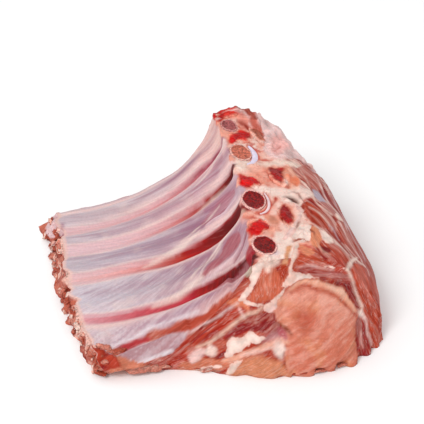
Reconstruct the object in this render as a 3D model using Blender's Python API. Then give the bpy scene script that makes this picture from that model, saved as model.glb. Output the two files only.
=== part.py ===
"""Raw rack of six beef ribs, lying on its outer side with the sawn chine on top.

The rack is one body of meat and fat. Six rib bones lie along its hollow inner side,
and the sawn backbone shows on the facet along its ridge: the ribs' round heads, the
stumps of the vertebrae between them, the stumps of the spines beside them, and two
crescents of joint cartilage.

The body is a box of three directions that is bent into shape. s runs across the rack,
from the rib tips over the inner side, the sawn facet and the back muscles to the far
foot. t runs along the backbone, from the front cut to the rear cut. w runs up, from
the flat underside to the top surface. Metres, +Z up, the front cut faces -Y.
"""
import bpy
import numpy as np

# ---- driving dimensions, front to rear unless the name says otherwise ----
TIP_X = (-0.166, -0.176, -0.180, -0.178, -0.178)
TIP_Z = (0.014, 0.018, 0.019, 0.019, 0.018)
TIP_FLARE = (0.004, 0.008, 0.010, 0.012, 0.016)
CHINE_X = (-0.0085, -0.0035, 0.0040, 0.0050, 0.0040)
CHINE_Z = (0.110, 0.116, 0.121, 0.125, 0.132)
SWEEP_DEG = (62, 68, 75, 82, 87)
FACET_WIDE = (0.0605, 0.0655, 0.0610, 0.0540, 0.0460)
FACET_DROP = (0.004, 0.005, 0.008, 0.012, 0.016)
BACK_X = (0.126, 0.139, 0.136, 0.130, 0.110)
# from the tips' side to the back muscles' side
FOOT_Y = (0.014, 0.009, 0.000, -0.014, -0.030, -0.036, -0.026, 0.008)
HEAD_Y = (0.002, -0.005, 0.000, 0.012, 0.020, 0.022, 0.016, 0.012)
REAR_Y = (0.276, 0.274, 0.271, 0.270, 0.271, 0.270, 0.265, 0.254)
WIDE_FROM, WIDE_TO = -0.18, 0.13
EDGE_Z = 0.008            # height of the wall at the back muscles' foot
BACK_FULLNESS = 1.7       # 2 is a round shoulder, less is a straighter slope
CENTRE = (-0.02869, 0.12067)  # middle of the footprint, set under the part's origin

S_CHINE, S_FACET = 0.5, 0.64  # where the inner side and the sawn facet end

# grooves between the ribs: t from the rib tips to the chine, and depth at the chine
GROOVES = (
    ((0.850, 0.855, 0.863, 0.856, 0.820), 0.006),
    ((0.715, 0.710, 0.687, 0.641, 0.595), 0.009),
    ((0.525, 0.525, 0.450, 0.370, 0.332), 0.010),
    ((0.277, 0.262, 0.202, 0.108, 0.025), 0.009),
)
GROOVE_WIDE = 0.0065
GROOVE_TIP_DEPTH = 0.0015
# the grid's rows follow the grooves: the share of the rows in front of each groove
GROOVE_ROWS = (0.835, 0.645, 0.42, 0.17)

# ribs: t from the tips to the head, s of both ends, depth of the head's centre
RIBS = (
    ((0.915, 0.925, 0.932, 0.922, 0.900), (0.0, S_CHINE), 0.0125),
    ((0.775, 0.785, 0.765, 0.725, 0.705), (0.0, S_CHINE), 0.0140),
    ((0.588, 0.598, 0.525, 0.448, 0.378), (0.0, S_CHINE), 0.0120),
    ((0.335, 0.335, 0.280, 0.195, 0.100), (0.0, S_CHINE), 0.0130),
    ((0.185, 0.190, 0.128, 0.052, 0.030), (0.0, 0.39), None),
    ((0.045, 0.056, 0.056, 0.056, 0.056), (0.04, 0.24), None),
)
RIB_HALF_WIDE = (0.0125, 0.0140, 0.0145, 0.0140, 0.0160)
RIB_HALF_THICK = (0.0048, 0.0060, 0.0068, 0.0080, 0.0120)
RIB_PROUD = (0.0010, 0.0022, 0.0028, 0.0030, 0.0)
RIB_END_PROUD, HEAD_PROUD = 0.0015, 0.0012
RIB_NARROW = (1.0, 1.0, 1.0, 1.0, 0.85, 0.80)
HEAD_NARROW = (0.60, 0.96, 1.0, 0.88, 1.0, 1.0)
NARROW_FROM, HEAD_FROM = 0.70, 0.72  # share of a rib where its head narrows and sinks in
FRONT_TAPER, FRONT_TAPER_S = 0.45, 0.06  # the two short ribs thin out toward the front cut
RIB_STATIONS, RIB_SIDES = 15, 10

# sawn bone on the facet: x, y, half sizes, turn in degrees, height above the facet
VERTEBRAE = (
    (0.0170, 0.2622, 0.0130, 0.0036, 0, 0.0008),
    (0.0250, 0.2260, 0.0125, 0.0098, 8, 0.0015),
    (0.0175, 0.1430, 0.0100, 0.0110, 0, 0.0015),
    (0.0090, 0.0725, 0.0110, 0.0110, 6, 0.0015),
)
SPINES = (
    (0.0455, 0.2330, 0.0065, 0.0150, 8, 0.0020),
    (0.0480, 0.1500, 0.0080, 0.0165, 20, 0.0015),
    (0.0405, 0.0820, 0.0068, 0.0175, 8, 0.0015),
)
STUMP_DEEP, STUMP_TAPER, STUMP_DOME, STUMP_SIDES = 0.014, 0.85, 0.55, 12
# waves round a stump: count, share of its size, phase by x and by y
UNEVEN = ((2, 0.10, 900, 0), (3, 0.06, 0, 700))

# joint cartilage: rib number, arc's radii along x and y, start and end angle, width
CRESCENTS = (
    (2, 0.0152, 0.0222, -78, 35, 0.0056),
    (3, 0.0155, 0.0225, -85, 28, 0.0032),
)
CRESCENT_DEEP, CRESCENT_PROUD, CRESCENT_STATIONS = 0.006, 0.0012, 9
CRESCENT_POINT = 0.45     # width of its ends, as a share of its middle
CRESCENT_SECTION = ((-1, 0), (-0.6, 1), (0.6, 1), (1, 0), (0.8, -1), (-0.8, -1))  # across, level

RIB_EYE = (0.0565, 0.0415)         # x, z of the middle of the rib eye on the front cut
RIB_EYE_HALF = (0.040, 0.038)
RIB_EYE_BULGE = 0.004
EYE_RIM, EYE_SLOPE = 1.05, 0.3     # the bulge ends here, in half sizes, over this much
CREASE_AT, CREASE_WIDE, CREASE_DEEP = 1.1, 0.1, 0.4  # round it, its depth a share of the bulge
REAR_LUMP = (0.028, 0.269)        # x, y of the bony lump at the chine's rear end
REAR_LUMP_HIGH, REAR_LUMP_WIDE = 0.010, 0.022

# uneven sides: how far they stand out, and how wide their lumps are
RAGGED_TIP, TIP_LUMPS = 0.0045, 0.011
RAGGED_FOOT, FOOT_LUMPS, FOOT_HIGH = 0.0030, 0.012, 0.03
RAGGED_REAR, REAR_LUMPS = 0.0020, 0.022
LOBES, LOBE_LUMPS, BACK_LONG = 0.0035, 0.032, 0.38  # BACK_LONG: surface from s 0 to 1
FLAT_LUMPS, TALL_LUMPS = 1.5, 0.5   # lumps at the tips are low, at the foot tall
FADE = 0.015              # how far one side's relief reaches into its neighbours
TIP_FADE = 0.05           # the same for the tips, as s
RELIEF_FROM = 0.4         # w where the top's relief starts to show in the sides
GRID_S, GRID_T, GRID_W = 44, 32, 5
CLEAR = 0.0003            # gap between touching pieces


# ---- numbers along a line, and smooth noise ----
def smooth(x):
    x = np.clip(x, 0, 1)
    return x * x * (3 - 2 * x)


def along(k, values):
    """Value at k (0 to 1) of a smooth curve through equally spaced values."""
    v = np.asarray(values, float)
    last = len(v) - 1
    k = np.clip(np.asarray(k, float), 0, 1) * last
    i = np.minimum(k.astype(int), last - 1)
    f = k - i
    p1, p2 = v[i], v[i + 1]
    p0 = np.where(i == 0, 2 * p1 - p2, v[np.maximum(i - 1, 0)])
    p3 = np.where(i == last - 1, 2 * p2 - p1, v[np.minimum(i + 2, last)])
    cubic = (3 * p1 - p0 - 3 * p2 + p3) * f ** 3
    square = (2 * p0 - 5 * p1 + 4 * p2 - p3) * f * f
    return 0.5 * (2 * p1 + (p2 - p0) * f + square + cubic)


def noise(a, b, size, seed):
    """Smooth noise from -1 to 1 over two coordinates, with bumps of the given size."""
    table = np.random.default_rng(seed).uniform(-1, 1, (64, 64))
    a, b = np.asarray(a) / size, np.asarray(b) / size
    i, j = np.floor(a).astype(int), np.floor(b).astype(int)
    f, g = smooth(a - i), smooth(b - j)
    low = table[i % 64, j % 64] * (1 - f) + table[(i + 1) % 64, j % 64] * f
    high = table[i % 64, (j + 1) % 64] * (1 - f) + table[(i + 1) % 64, (j + 1) % 64] * f
    return low * (1 - g) + high * g


# ---- the bent box ----
def profile(s, t):
    """x and z of the top surface: inner side, sawn facet, back muscles."""
    tip_x, tip_z = along(t, TIP_X), along(t, TIP_Z)
    chine_x, chine_z = along(t, CHINE_X), along(t, CHINE_Z)
    sweep = np.radians(along(t, SWEEP_DEG))
    turn = sweep * np.clip(s / S_CHINE, 0, 1)
    inner_x = tip_x + (chine_x - tip_x) * np.sin(turn) / np.sin(sweep)
    inner_z = tip_z + (chine_z - tip_z) * (1 - np.cos(turn)) / (1 - np.cos(sweep))
    k = np.clip((s - S_CHINE) / (S_FACET - S_CHINE), 0, 1)
    edge_x = chine_x + along(t, FACET_WIDE)
    edge_z = chine_z - along(t, FACET_DROP)
    facet_x = chine_x + (edge_x - chine_x) * k
    facet_z = chine_z + (edge_z - chine_z) * k
    turn = np.clip((s - S_FACET) / (1 - S_FACET), 0, 1) * np.pi / 2
    power = 2 / BACK_FULLNESS
    back_x = edge_x + (along(t, BACK_X) - edge_x) * np.sin(turn) ** power
    back_z = EDGE_Z + (edge_z - EDGE_Z) * np.maximum(np.cos(turn), 0) ** power
    x = np.where(s < S_CHINE, inner_x, np.where(s < S_FACET, facet_x, back_x))
    z = np.where(s < S_CHINE, inner_z, np.where(s < S_FACET, facet_z, back_z))
    return x, z


def plain(s, t, w):
    """A point of the bent box, without relief."""
    s, t, w = np.broadcast_arrays(np.asarray(s, float), np.asarray(t, float), np.asarray(w, float))
    top_x, top_z = profile(s, t)
    low_x = top_x - along(t, TIP_FLARE) * (1 - smooth(s / 0.25))
    x = low_x + (top_x - low_x) * w
    wide = (x - WIDE_FROM) / (WIDE_TO - WIDE_FROM)
    front = along(wide, HEAD_Y) + (along(wide, FOOT_Y) - along(wide, HEAD_Y)) * smooth(1 - w)
    y = front + (along(wide, REAR_Y) - front) * t
    return np.stack([x, y, top_z * w], -1)


def row(s, u):
    """t of a grid row: rows run along the grooves, and spread evenly over the back."""
    apart = smooth((s - S_CHINE) / 0.3)
    shares = (0,) + GROOVE_ROWS[::-1] + (1,)
    t = np.zeros_like(s)
    groove_t = [along(s / S_CHINE, path) for path, _ in GROOVES][::-1]
    lines = [np.zeros_like(s)] + [g + (share - g) * apart for g, share in zip(groove_t, shares[1:])]
    lines.append(np.ones_like(s))
    for i in range(len(shares) - 1):
        k = (u - shares[i]) / (shares[i + 1] - shares[i])
        t = np.where(k >= 0, lines[i] + (lines[i + 1] - lines[i]) * np.minimum(k, 1), t)
    return t


def normal(s, t):
    """Outward direction of the top surface."""
    step = 0.004
    s = np.clip(s, step, 1)
    across = plain(np.clip(s + step, 0, 1), t, 1.0) - plain(np.clip(s - step, 0, 1), t, 1.0)
    length = plain(s, np.clip(t + step, 0, 1), 1.0) - plain(s, np.clip(t - step, 0, 1), 1.0)
    n = np.cross(across, length)
    return n / np.linalg.norm(n, axis=-1, keepdims=True)


def top_relief(s, t, p):
    """Height of grooves, muscle lobes and the bony rear lump over the plain top."""
    inner = 1 - smooth((s - S_CHINE + 0.05) / 0.05)
    high = np.zeros_like(s)
    for path, deep in GROOVES:
        centre = plain(s, along(s / S_CHINE, path), 1.0)[..., 1]
        depth = GROOVE_TIP_DEPTH + (deep - GROOVE_TIP_DEPTH) * smooth(s / S_CHINE)
        high -= inner * depth * np.exp(-((p[..., 1] - centre) / GROOVE_WIDE) ** 2)
    back = smooth((s - S_FACET) / 0.08) * smooth((1 - s) / 0.1)
    high += LOBES * back * noise(s * BACK_LONG, p[..., 1], LOBE_LUMPS, 3)
    reach = np.hypot(p[..., 0] - REAR_LUMP[0], p[..., 1] - REAR_LUMP[1]) / REAR_LUMP_WIDE
    high += REAR_LUMP_HIGH * smooth(1 - reach) * smooth((s - S_CHINE) / 0.02)
    return high


def front_relief(x, z):
    """How far the front cut stands out: the rib eye's bulge and the ragged foot."""
    ring = np.hypot((x - RIB_EYE[0]) / RIB_EYE_HALF[0], (z - RIB_EYE[1]) / RIB_EYE_HALF[1])
    crease = CREASE_DEEP * np.exp(-((ring - CREASE_AT) / CREASE_WIDE) ** 2)
    bulge = RIB_EYE_BULGE * (smooth((EYE_RIM - ring) / EYE_SLOPE) - crease)
    return bulge + RAGGED_FOOT * noise(x, z * TALL_LUMPS, FOOT_LUMPS, 5) * smooth(1 - z / FOOT_HIGH)


def solid_point(s, t, w):
    """A point of the finished body: the bent box with every side's relief."""
    s, t, w = np.broadcast_arrays(np.asarray(s, float), np.asarray(t, float), np.asarray(w, float))
    p = plain(s, t, w)
    n = normal(s, t)
    long = REAR_Y[0]
    share = smooth((w - RELIEF_FROM) / (1 - RELIEF_FROM))
    p = p + n * (top_relief(s, t, p) * share)[..., None]
    x, y, z = np.moveaxis(p, -1, 0)
    front = front_relief(x, z) * smooth(1 - t * long / FADE)
    rear = RAGGED_REAR * noise(x, z, REAR_LUMPS, 7) * smooth(1 - (1 - t) * long / FADE)
    tip = RAGGED_TIP * noise(y, z * FLAT_LUMPS, TIP_LUMPS, 9) * smooth(1 - s / TIP_FADE)
    p[..., 1] += rear - front
    p[..., 0] -= tip
    return p


# ---- meshes ----
def finish(name, points, faces, colour, roughness, smooth_shade=False):
    """A mesh object with its own material."""
    points = np.asarray(points) - np.array([CENTRE[0], CENTRE[1], 0])
    mesh = bpy.data.meshes.new(name)
    mesh.from_pydata(points.tolist(), [], [tuple(int(i) for i in face) for face in faces])
    mesh.validate()
    if smooth_shade:
        mesh.shade_smooth()
    material = bpy.data.materials.new(name)
    material.use_nodes = True
    shader = material.node_tree.nodes["Principled BSDF"]
    shader.inputs["Base Color"].default_value = (*colour, 1)
    shader.inputs["Roughness"].default_value = roughness
    shader.inputs["Metallic"].default_value = 0
    mesh.materials.append(material)
    obj = bpy.data.objects.new(name, mesh)
    bpy.context.collection.objects.link(obj)
    return obj


def box_faces(count_s, count_t, count_w):
    """The outer vertices of a grid of boxes, and the faces over all six sides."""
    index = {}
    spots = []

    def spot(i, j, k):
        if (i, j, k) not in index:
            index[i, j, k] = len(spots)
            spots.append((i, j, k))
        return index[i, j, k]

    faces = []
    for i in range(count_s):
        for j in range(count_t):
            k = count_w
            faces.append([spot(i, j, k), spot(i + 1, j, k), spot(i + 1, j + 1, k), spot(i, j + 1, k)])
    for i in range(count_s):
        for k in range(count_w):
            faces.append([spot(i, 0, k), spot(i + 1, 0, k), spot(i + 1, 0, k + 1), spot(i, 0, k + 1)])
            r = count_t
            faces.append([spot(i, r, k), spot(i, r, k + 1), spot(i + 1, r, k + 1), spot(i + 1, r, k)])
    for j in range(count_t):
        for k in range(count_w):
            faces.append([spot(0, j, k), spot(0, j, k + 1), spot(0, j + 1, k + 1), spot(0, j + 1, k)])
            e = count_s
            faces.append([spot(e, j, k), spot(e, j + 1, k), spot(e, j + 1, k + 1), spot(e, j, k + 1)])
    ring = [spot(i, 0, 0) for i in range(count_s)]
    ring += [spot(count_s, j, 0) for j in range(count_t)]
    ring += [spot(i, count_t, 0) for i in range(count_s, 0, -1)]
    ring += [spot(0, j, 0) for j in range(count_t, 0, -1)]
    faces.append(ring[::-1])
    return np.array(spots, float), faces


def make_meat():
    spots, faces = box_faces(GRID_S, GRID_T, GRID_W)
    s, u, w = spots[:, 0] / GRID_S, spots[:, 1] / GRID_T, spots[:, 2] / GRID_W
    return finish("meat", solid_point(s, row(s, u), w), faces, (0.46, 0.12, 0.09), 0.45)


def tube(rings):
    """Faces of a closed tube: rings of equal length, with a fan at each end."""
    rings = np.asarray(rings)
    count, sides = rings.shape[:2]
    points = list(rings.reshape(-1, 3)) + [rings[0].mean(0), rings[-1].mean(0)]
    faces = []
    for i in range(count - 1):
        for j in range(sides):
            a, b = i * sides + j, i * sides + (j + 1) % sides
            faces.append([a, b, b + sides, a + sides])
    first, last = count * sides, count * sides + 1
    for j in range(sides):
        b = (j + 1) % sides
        faces.append([first, b, j])
        faces.append([last, last - 1 - sides + j, last - 1 - sides + b])
    return points, faces


def facet_height(x, y):
    """Height of the sawn facet over a point, through the rear lump too."""
    t = (y - along((x - WIDE_FROM) / (WIDE_TO - WIDE_FROM), HEAD_Y)) / (REAR_Y[4] - HEAD_Y[5])
    k = (x - along(t, CHINE_X)) / along(t, FACET_WIDE)
    reach = np.hypot(x - REAR_LUMP[0], y - REAR_LUMP[1]) / REAR_LUMP_WIDE
    return along(t, CHINE_Z) - along(t, FACET_DROP) * k + REAR_LUMP_HIGH * smooth(1 - reach)


def rib_rings(number, grow):
    """Rings of one rib, from its tip to its sawn head or its front end."""
    path, (start, end), head_depth = RIBS[number - 1]
    angle = np.linspace(0, 2 * np.pi, RIB_SIDES, endpoint=False)
    rings = []
    for s in np.linspace(start, end, RIB_STATIONS):
        k = s / S_CHINE
        centre = plain(s, along(k, path), 1.0)
        ahead = plain(s + 0.01, along(k + 0.02, path), 1.0)
        behind = plain(s - 0.01, along(k - 0.02, path), 1.0)
        forward = ahead - behind
        forward /= np.linalg.norm(forward)
        up = normal(np.float64(s) - 0.006, along(k, path))
        side = np.cross(up, forward)
        side /= np.linalg.norm(side)
        narrow = 1 + (HEAD_NARROW[number - 1] - 1) * smooth((k - NARROW_FROM) / (1 - NARROW_FROM))
        wide = along(k, RIB_HALF_WIDE) * RIB_NARROW[number - 1] * narrow
        thick = along(k, RIB_HALF_THICK) * np.sqrt(narrow)
        if head_depth:
            sink = thick - along(k, RIB_PROUD)
            sink += (head_depth - sink) * smooth((k - HEAD_FROM) / (1 - HEAD_FROM))
        else:
            thick = min(thick, RIB_HALF_THICK[2])
            sink = thick - along(k, RIB_PROUD)
            taper = 1 - FRONT_TAPER * smooth((s - end + FRONT_TAPER_S) / FRONT_TAPER_S)
            wide, thick = wide * taper, thick * taper
        across = np.outer(np.cos(angle) * (wide + grow), side)
        rings.append(centre - up * sink + across + np.outer(np.sin(angle) * (thick + grow), up))
    rings = np.array(rings)
    if head_depth:
        rings[-1] = sawn_at_facet(rings[-2], rings[-1], HEAD_PROUD + grow)
    if start == 0:
        rings[0] = sawn_at_tips(rings[0], along(0.0, path), RIB_END_PROUD + grow)
    return rings


def sawn_at_tips(ring, t, proud):
    """The first ring, moved out to the slanting face that the rib tips end in."""
    top_x, top_z = profile(np.float64(0), t)
    out = ring.copy()
    out[:, 0] = top_x - along(t, TIP_FLARE) * (1 - np.clip(ring[:, 2] / top_z, 0, 1)) - proud
    return out


def sawn_at_facet(before, last, proud):
    """The last ring, slid along the rib until it lies on the facet."""
    forward = (last - before).mean(0)
    forward /= np.linalg.norm(forward)
    for _ in range(3):
        lift = facet_height(last[:, 0], last[:, 1]) + proud - last[:, 2]
        last = last + np.outer(lift / forward[2], forward)
    return last


def rib_head(number):
    """Middle of a rib's sawn head."""
    return rib_rings(number, 0.0)[-1].mean(0)


def stump_rings(x, y, half_x, half_y, turn, proud, grow):
    """Rings of a stump of sawn bone, from its foot in the meat to its domed top."""
    angle = np.linspace(0, 2 * np.pi, STUMP_SIDES, endpoint=False)
    uneven = np.ones(STUMP_SIDES)
    for count, share, by_x, by_y in UNEVEN:
        uneven += share * np.sin(count * angle + x * by_x + y * by_y)
    turn = np.radians(turn)
    rings = []
    foot, middle = (STUMP_TAPER, -STUMP_DEEP - grow), (1, -STUMP_DEEP / 2)
    rim, dome = (1, proud + grow), (STUMP_DOME, 2 * proud + grow)
    for scale, high in (foot, middle, rim, dome):
        a = np.cos(angle) * uneven * scale * half_x + grow * np.cos(angle)
        b = np.sin(angle) * uneven * scale * half_y + grow * np.sin(angle)
        px = x + a * np.cos(turn) - b * np.sin(turn)
        py = y + a * np.sin(turn) + b * np.cos(turn)
        rings.append(np.stack([px, py, facet_height(px, py) + high], -1))
    return np.array(rings)


def crescent_rings(number, radius_x, radius_y, start, end, wide, grow):
    """Rings of a crescent of cartilage beside a rib's head."""
    middle = rib_head(number)
    rings = []
    reach = np.degrees(grow / radius_x)
    for k in np.linspace(0, 1, CRESCENT_STATIONS):
        angle = np.radians(start - reach + (end - start + 2 * reach) * k)
        x, y = middle[0] + radius_x * np.cos(angle), middle[1] + radius_y * np.sin(angle)
        out = np.array([np.cos(angle), np.sin(angle)])
        half = wide / 2 * (CRESCENT_POINT + (1 - CRESCENT_POINT) * np.sin(np.pi * k)) + grow
        ring = []
        for a, level in CRESCENT_SECTION:
            px, py = x + out[0] * half * a, y + out[1] * half * a
            high = {1: CRESCENT_PROUD + grow, 0: 0.0, -1: -CRESCENT_DEEP - grow}[level]
            ring.append((px, py, facet_height(px, py) + high))
        rings.append(ring)
    return np.array(rings)


def make_piece(name, rings, colour, roughness):
    points, faces = tube(rings)
    return finish(name, points, faces, colour, roughness, True)


def bones(grow):
    """Name, rings and colour of every bone and crescent, grown by a gap for cutters."""
    membrane, marrow = (0.72, 0.60, 0.62), (0.55, 0.05, 0.05)
    spongy, gristle = (0.50, 0.12, 0.10), (0.86, 0.80, 0.86)
    for number in range(1, len(RIBS) + 1):
        yield f"rib_{number}", rib_rings(number, grow), membrane
    for number, stump in enumerate(VERTEBRAE, 1):
        yield f"vertebra_{number}", stump_rings(*stump, grow), marrow
    for number, stump in enumerate(SPINES, 1):
        yield f"spine_{number}", stump_rings(*stump, grow), spongy
    for crescent in CRESCENTS:
        yield f"cartilage_{crescent[0]}", crescent_rings(*crescent, grow), gristle


def cut_beds(meat):
    """Cut a bed for every bone out of the meat, a small gap wider than the bone."""
    beds = bpy.data.collections.new("beds")
    bpy.context.scene.collection.children.link(beds)
    for name, rings, colour in bones(CLEAR):
        cutter = make_piece(f"bed_{name}", rings, colour, 0.5)
        bpy.context.collection.objects.unlink(cutter)
        beds.objects.link(cutter)
        cutter.hide_render = True
        cutter.display_type = "WIRE"
    cut = meat.modifiers.new("beds", "BOOLEAN")
    cut.operation = "DIFFERENCE"
    cut.operand_type = "COLLECTION"
    cut.collection = beds


def main():
    for obj in list(bpy.data.objects):
        bpy.data.objects.remove(obj, do_unlink=True)
    meat = make_meat()
    cut_beds(meat)
    for name, rings, colour in bones(0.0):
        make_piece(name, rings, colour, 0.4)


main()
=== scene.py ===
"""Looks of the raw beef rib rack: flesh, membrane, fat and sawn bone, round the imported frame.

The flesh is the frame's bent box again, on a fine grid: s runs across the rack from the
rib tips, t along the backbone from the front cut, w up from the underside. Its relief
and its paint are functions of the place. Lines and patches are placed by (s, t) on the
top, by x and z on the two cuts and by y and z at the tips. On the top they are written in
thousandths of s and t, elsewhere in centimetres, and widths and lifts are in centimetres.
"""
import math

import bpy
import numpy as np
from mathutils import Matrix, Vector


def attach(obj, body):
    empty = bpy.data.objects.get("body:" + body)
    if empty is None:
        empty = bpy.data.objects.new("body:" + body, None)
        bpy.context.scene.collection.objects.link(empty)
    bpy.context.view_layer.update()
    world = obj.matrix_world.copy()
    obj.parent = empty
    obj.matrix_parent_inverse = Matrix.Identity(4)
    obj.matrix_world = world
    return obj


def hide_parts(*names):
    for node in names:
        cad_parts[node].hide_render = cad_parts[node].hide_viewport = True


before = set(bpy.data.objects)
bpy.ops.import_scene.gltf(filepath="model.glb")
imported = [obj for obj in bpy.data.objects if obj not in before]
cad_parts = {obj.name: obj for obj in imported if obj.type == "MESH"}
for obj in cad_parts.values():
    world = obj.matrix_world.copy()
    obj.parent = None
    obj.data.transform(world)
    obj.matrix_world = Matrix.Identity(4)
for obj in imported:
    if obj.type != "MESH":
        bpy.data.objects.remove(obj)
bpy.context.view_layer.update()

CM = 0.01

# ---- the frame's own shape, in metres, front to rear unless the name says otherwise ----
TIP_X = (-0.166, -0.176, -0.180, -0.178, -0.178)
TIP_Z = (0.014, 0.018, 0.019, 0.019, 0.018)
TIP_FLARE = (0.004, 0.008, 0.010, 0.012, 0.016)
CHINE_X = (-0.0085, -0.0035, 0.0040, 0.0050, 0.0040)
CHINE_Z = (0.110, 0.116, 0.121, 0.125, 0.132)
SWEEP_DEG = (62, 68, 75, 82, 87)
FACET_WIDE = (0.0605, 0.0655, 0.0610, 0.0540, 0.0460)
FACET_DROP = (0.004, 0.005, 0.008, 0.012, 0.016)
BACK_X = (0.126, 0.139, 0.136, 0.130, 0.110)
FOOT_Y = (0.014, 0.009, 0.000, -0.014, -0.030, -0.036, -0.026, 0.008)
HEAD_Y = (0.002, -0.005, 0.000, 0.012, 0.020, 0.022, 0.016, 0.012)
REAR_Y = (0.276, 0.274, 0.271, 0.270, 0.271, 0.270, 0.265, 0.254)
WIDE_FROM, WIDE_TO = -0.18, 0.13
EDGE_Z = 0.008
BACK_FULLNESS = 1.7
CENTRE = (-0.02869, 0.12067)
S_CHINE, S_FACET = 0.5, 0.64
# Grooves from the rear: t from the tips to the chine, and how deep they are there.
GROOVES = (
    ((0.850, 0.855, 0.863, 0.856, 0.820), 0.006),
    ((0.715, 0.710, 0.687, 0.641, 0.595), 0.009),
    ((0.525, 0.525, 0.450, 0.370, 0.332), 0.010),
    ((0.277, 0.262, 0.202, 0.108, 0.025), 0.009),
)
GROOVE_WIDE = 0.0065
GROOVE_TIP_DEPTH = 0.0015
GROOVE_ROWS = (0.835, 0.645, 0.42, 0.17)
# Ribs from the rear: t from the tips to the chine, first and last s, how deep the head lies.
RIBS = (
    ((0.915, 0.925, 0.932, 0.922, 0.900), (0.0, S_CHINE), 0.0125),
    ((0.775, 0.785, 0.765, 0.725, 0.705), (0.0, S_CHINE), 0.0140),
    ((0.588, 0.598, 0.525, 0.448, 0.378), (0.0, S_CHINE), 0.0120),
    ((0.335, 0.335, 0.280, 0.195, 0.100), (0.0, S_CHINE), 0.0130),
    ((0.185, 0.190, 0.128, 0.052, 0.030), (0.0, 0.39), None),
    ((0.045, 0.056, 0.056, 0.056, 0.056), (0.04, 0.24), None),
)
RIB_HALF_WIDE = (0.0125, 0.0140, 0.0145, 0.0140, 0.0160)
RIB_HALF_THICK = (0.0048, 0.0060, 0.0068, 0.0080, 0.0120)
RIB_PROUD = (0.0010, 0.0022, 0.0028, 0.0030, 0.0)
RIB_END_PROUD, HEAD_PROUD = 0.0015, 0.0012
RIB_NARROW = (1.0, 1.0, 1.0, 1.0, 0.85, 0.80)
HEAD_NARROW = (0.60, 0.96, 1.0, 0.88, 1.0, 1.0)
RIB_STATIONS, RIB_SIDES = 60, 48
# Stumps of sawn bone from the rear: x, y, half sizes, turn in degrees, how proud they stand.
VERTEBRAE = (
    (0.0170, 0.2622, 0.0130, 0.0036, 0, 0.0008),
    (0.0250, 0.2260, 0.0125, 0.0098, 8, 0.0015),
    (0.0175, 0.1430, 0.0100, 0.0110, 0, 0.0015),
    (0.0090, 0.0725, 0.0110, 0.0110, 6, 0.0015),
)
SPINES = (
    (0.0455, 0.2330, 0.0065, 0.0150, 8, 0.0020),
    (0.0480, 0.1500, 0.0080, 0.0165, 20, 0.0015),
    (0.0405, 0.0820, 0.0068, 0.0175, 8, 0.0015),
)
STUMP_DEEP, STUMP_SIDES = 0.014, 48
STUMP_SCALES = (0.85, 1.0, 1.0, 0.985, 0.94, 0.86, 0.76, 0.64, 0.50, 0.36, 0.22, 0.10)
# Crescents of cartilage: rib, radii, first and last degree, width.
CRESCENTS = (
    (2, 0.0150, 0.0222, -82, 38, 0.0070),
    (3, 0.0155, 0.0225, -85, 28, 0.0032),
)
CRESCENT_DEEP, CRESCENT_PROUD = 0.006, 0.0012
RIB_EYE = (0.0565, 0.0415)
RIB_EYE_HALF = (0.040, 0.038)
RIB_EYE_BULGE = 0.004
REAR_LUMP = (0.028, 0.269)
REAR_LUMP_HIGH, REAR_LUMP_WIDE = 0.010, 0.022
SIDE_LUMPS = ((0.0475, 0.262, 0.0085, 0.022), (0.066, 0.252, 0.0050, 0.020))   # x, y, height, radius
RAGGED_TIP, RAGGED_FOOT, RAGGED_REAR, LOBES = 0.0045, 0.0030, 0.0020, 0.0035
FOOT_STEPS = (0.020, 0.043, 0.066, 0.091, 0.108, 0.120)
FOOT_STEP_DEEP = 0.0035
FADE = 0.015

# ---- the fine flesh ----
GRID_S, GRID_T, GRID_W = 262, 160, 66
S_ROWS, S_AT = (0.0, 0.32, 1.0), (0.0, 0.42, 1.0)   # the rows along s are wider over the ribs
ACROSS = 41.0             # centimetres of surface from s = 0 to s = 1
RAGGED_TIP_FINE = 0.0022
KNOB_HIGH, KNOB_SIZE = 0.0022, 0.009   # knobs of fat on the far shoulder
MEMBRANE_THICK = 0.0009   # over the bone
COVER_BLEND = 0.0015      # how softly the membrane leaves a rib
BARE_ENDS = (1, 3)        # ribs whose sawn tips show
HEADED = 4                # the first ribs, which run up to a sawn head
FILM_FADE = 0.014         # how far along s the membrane fades out at the chine
UNDER_BONE = -0.16        # centimetres that the flesh sinks under a sawn bone
UNDER_CARTILAGE = -0.14   # and under a crescent of cartilage
STROKE_WIDTH = 0.85       # of the widths given for the lines
CRISP_EDGE, SOFT_EDGE = 0.3, 0.25   # centimetres over which a line's edge fades
CURVE_STEPS = 6           # per point of an outline or a line
TOP, FRONT, REAR, TIP, FOOT, RIM = range(6)   # RIM is the front cut and the top behind its edge
RIM_FROM, RIM_DEEP = 0.04, 5.0   # where along s, and how many centimetres behind the edge
EYE_RUN = 22              # degrees that the rib eye's fibres rise
BACK_RUN = -45            # degrees that the back's fibres turn from down to forward
CUT_RUN = 30              # degrees that the fibres of the two cuts rise
GRAIN_PLAIN, GRAIN_RISE = 500, 40   # grain per metre where no fibres run, and up through the fibres

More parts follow.
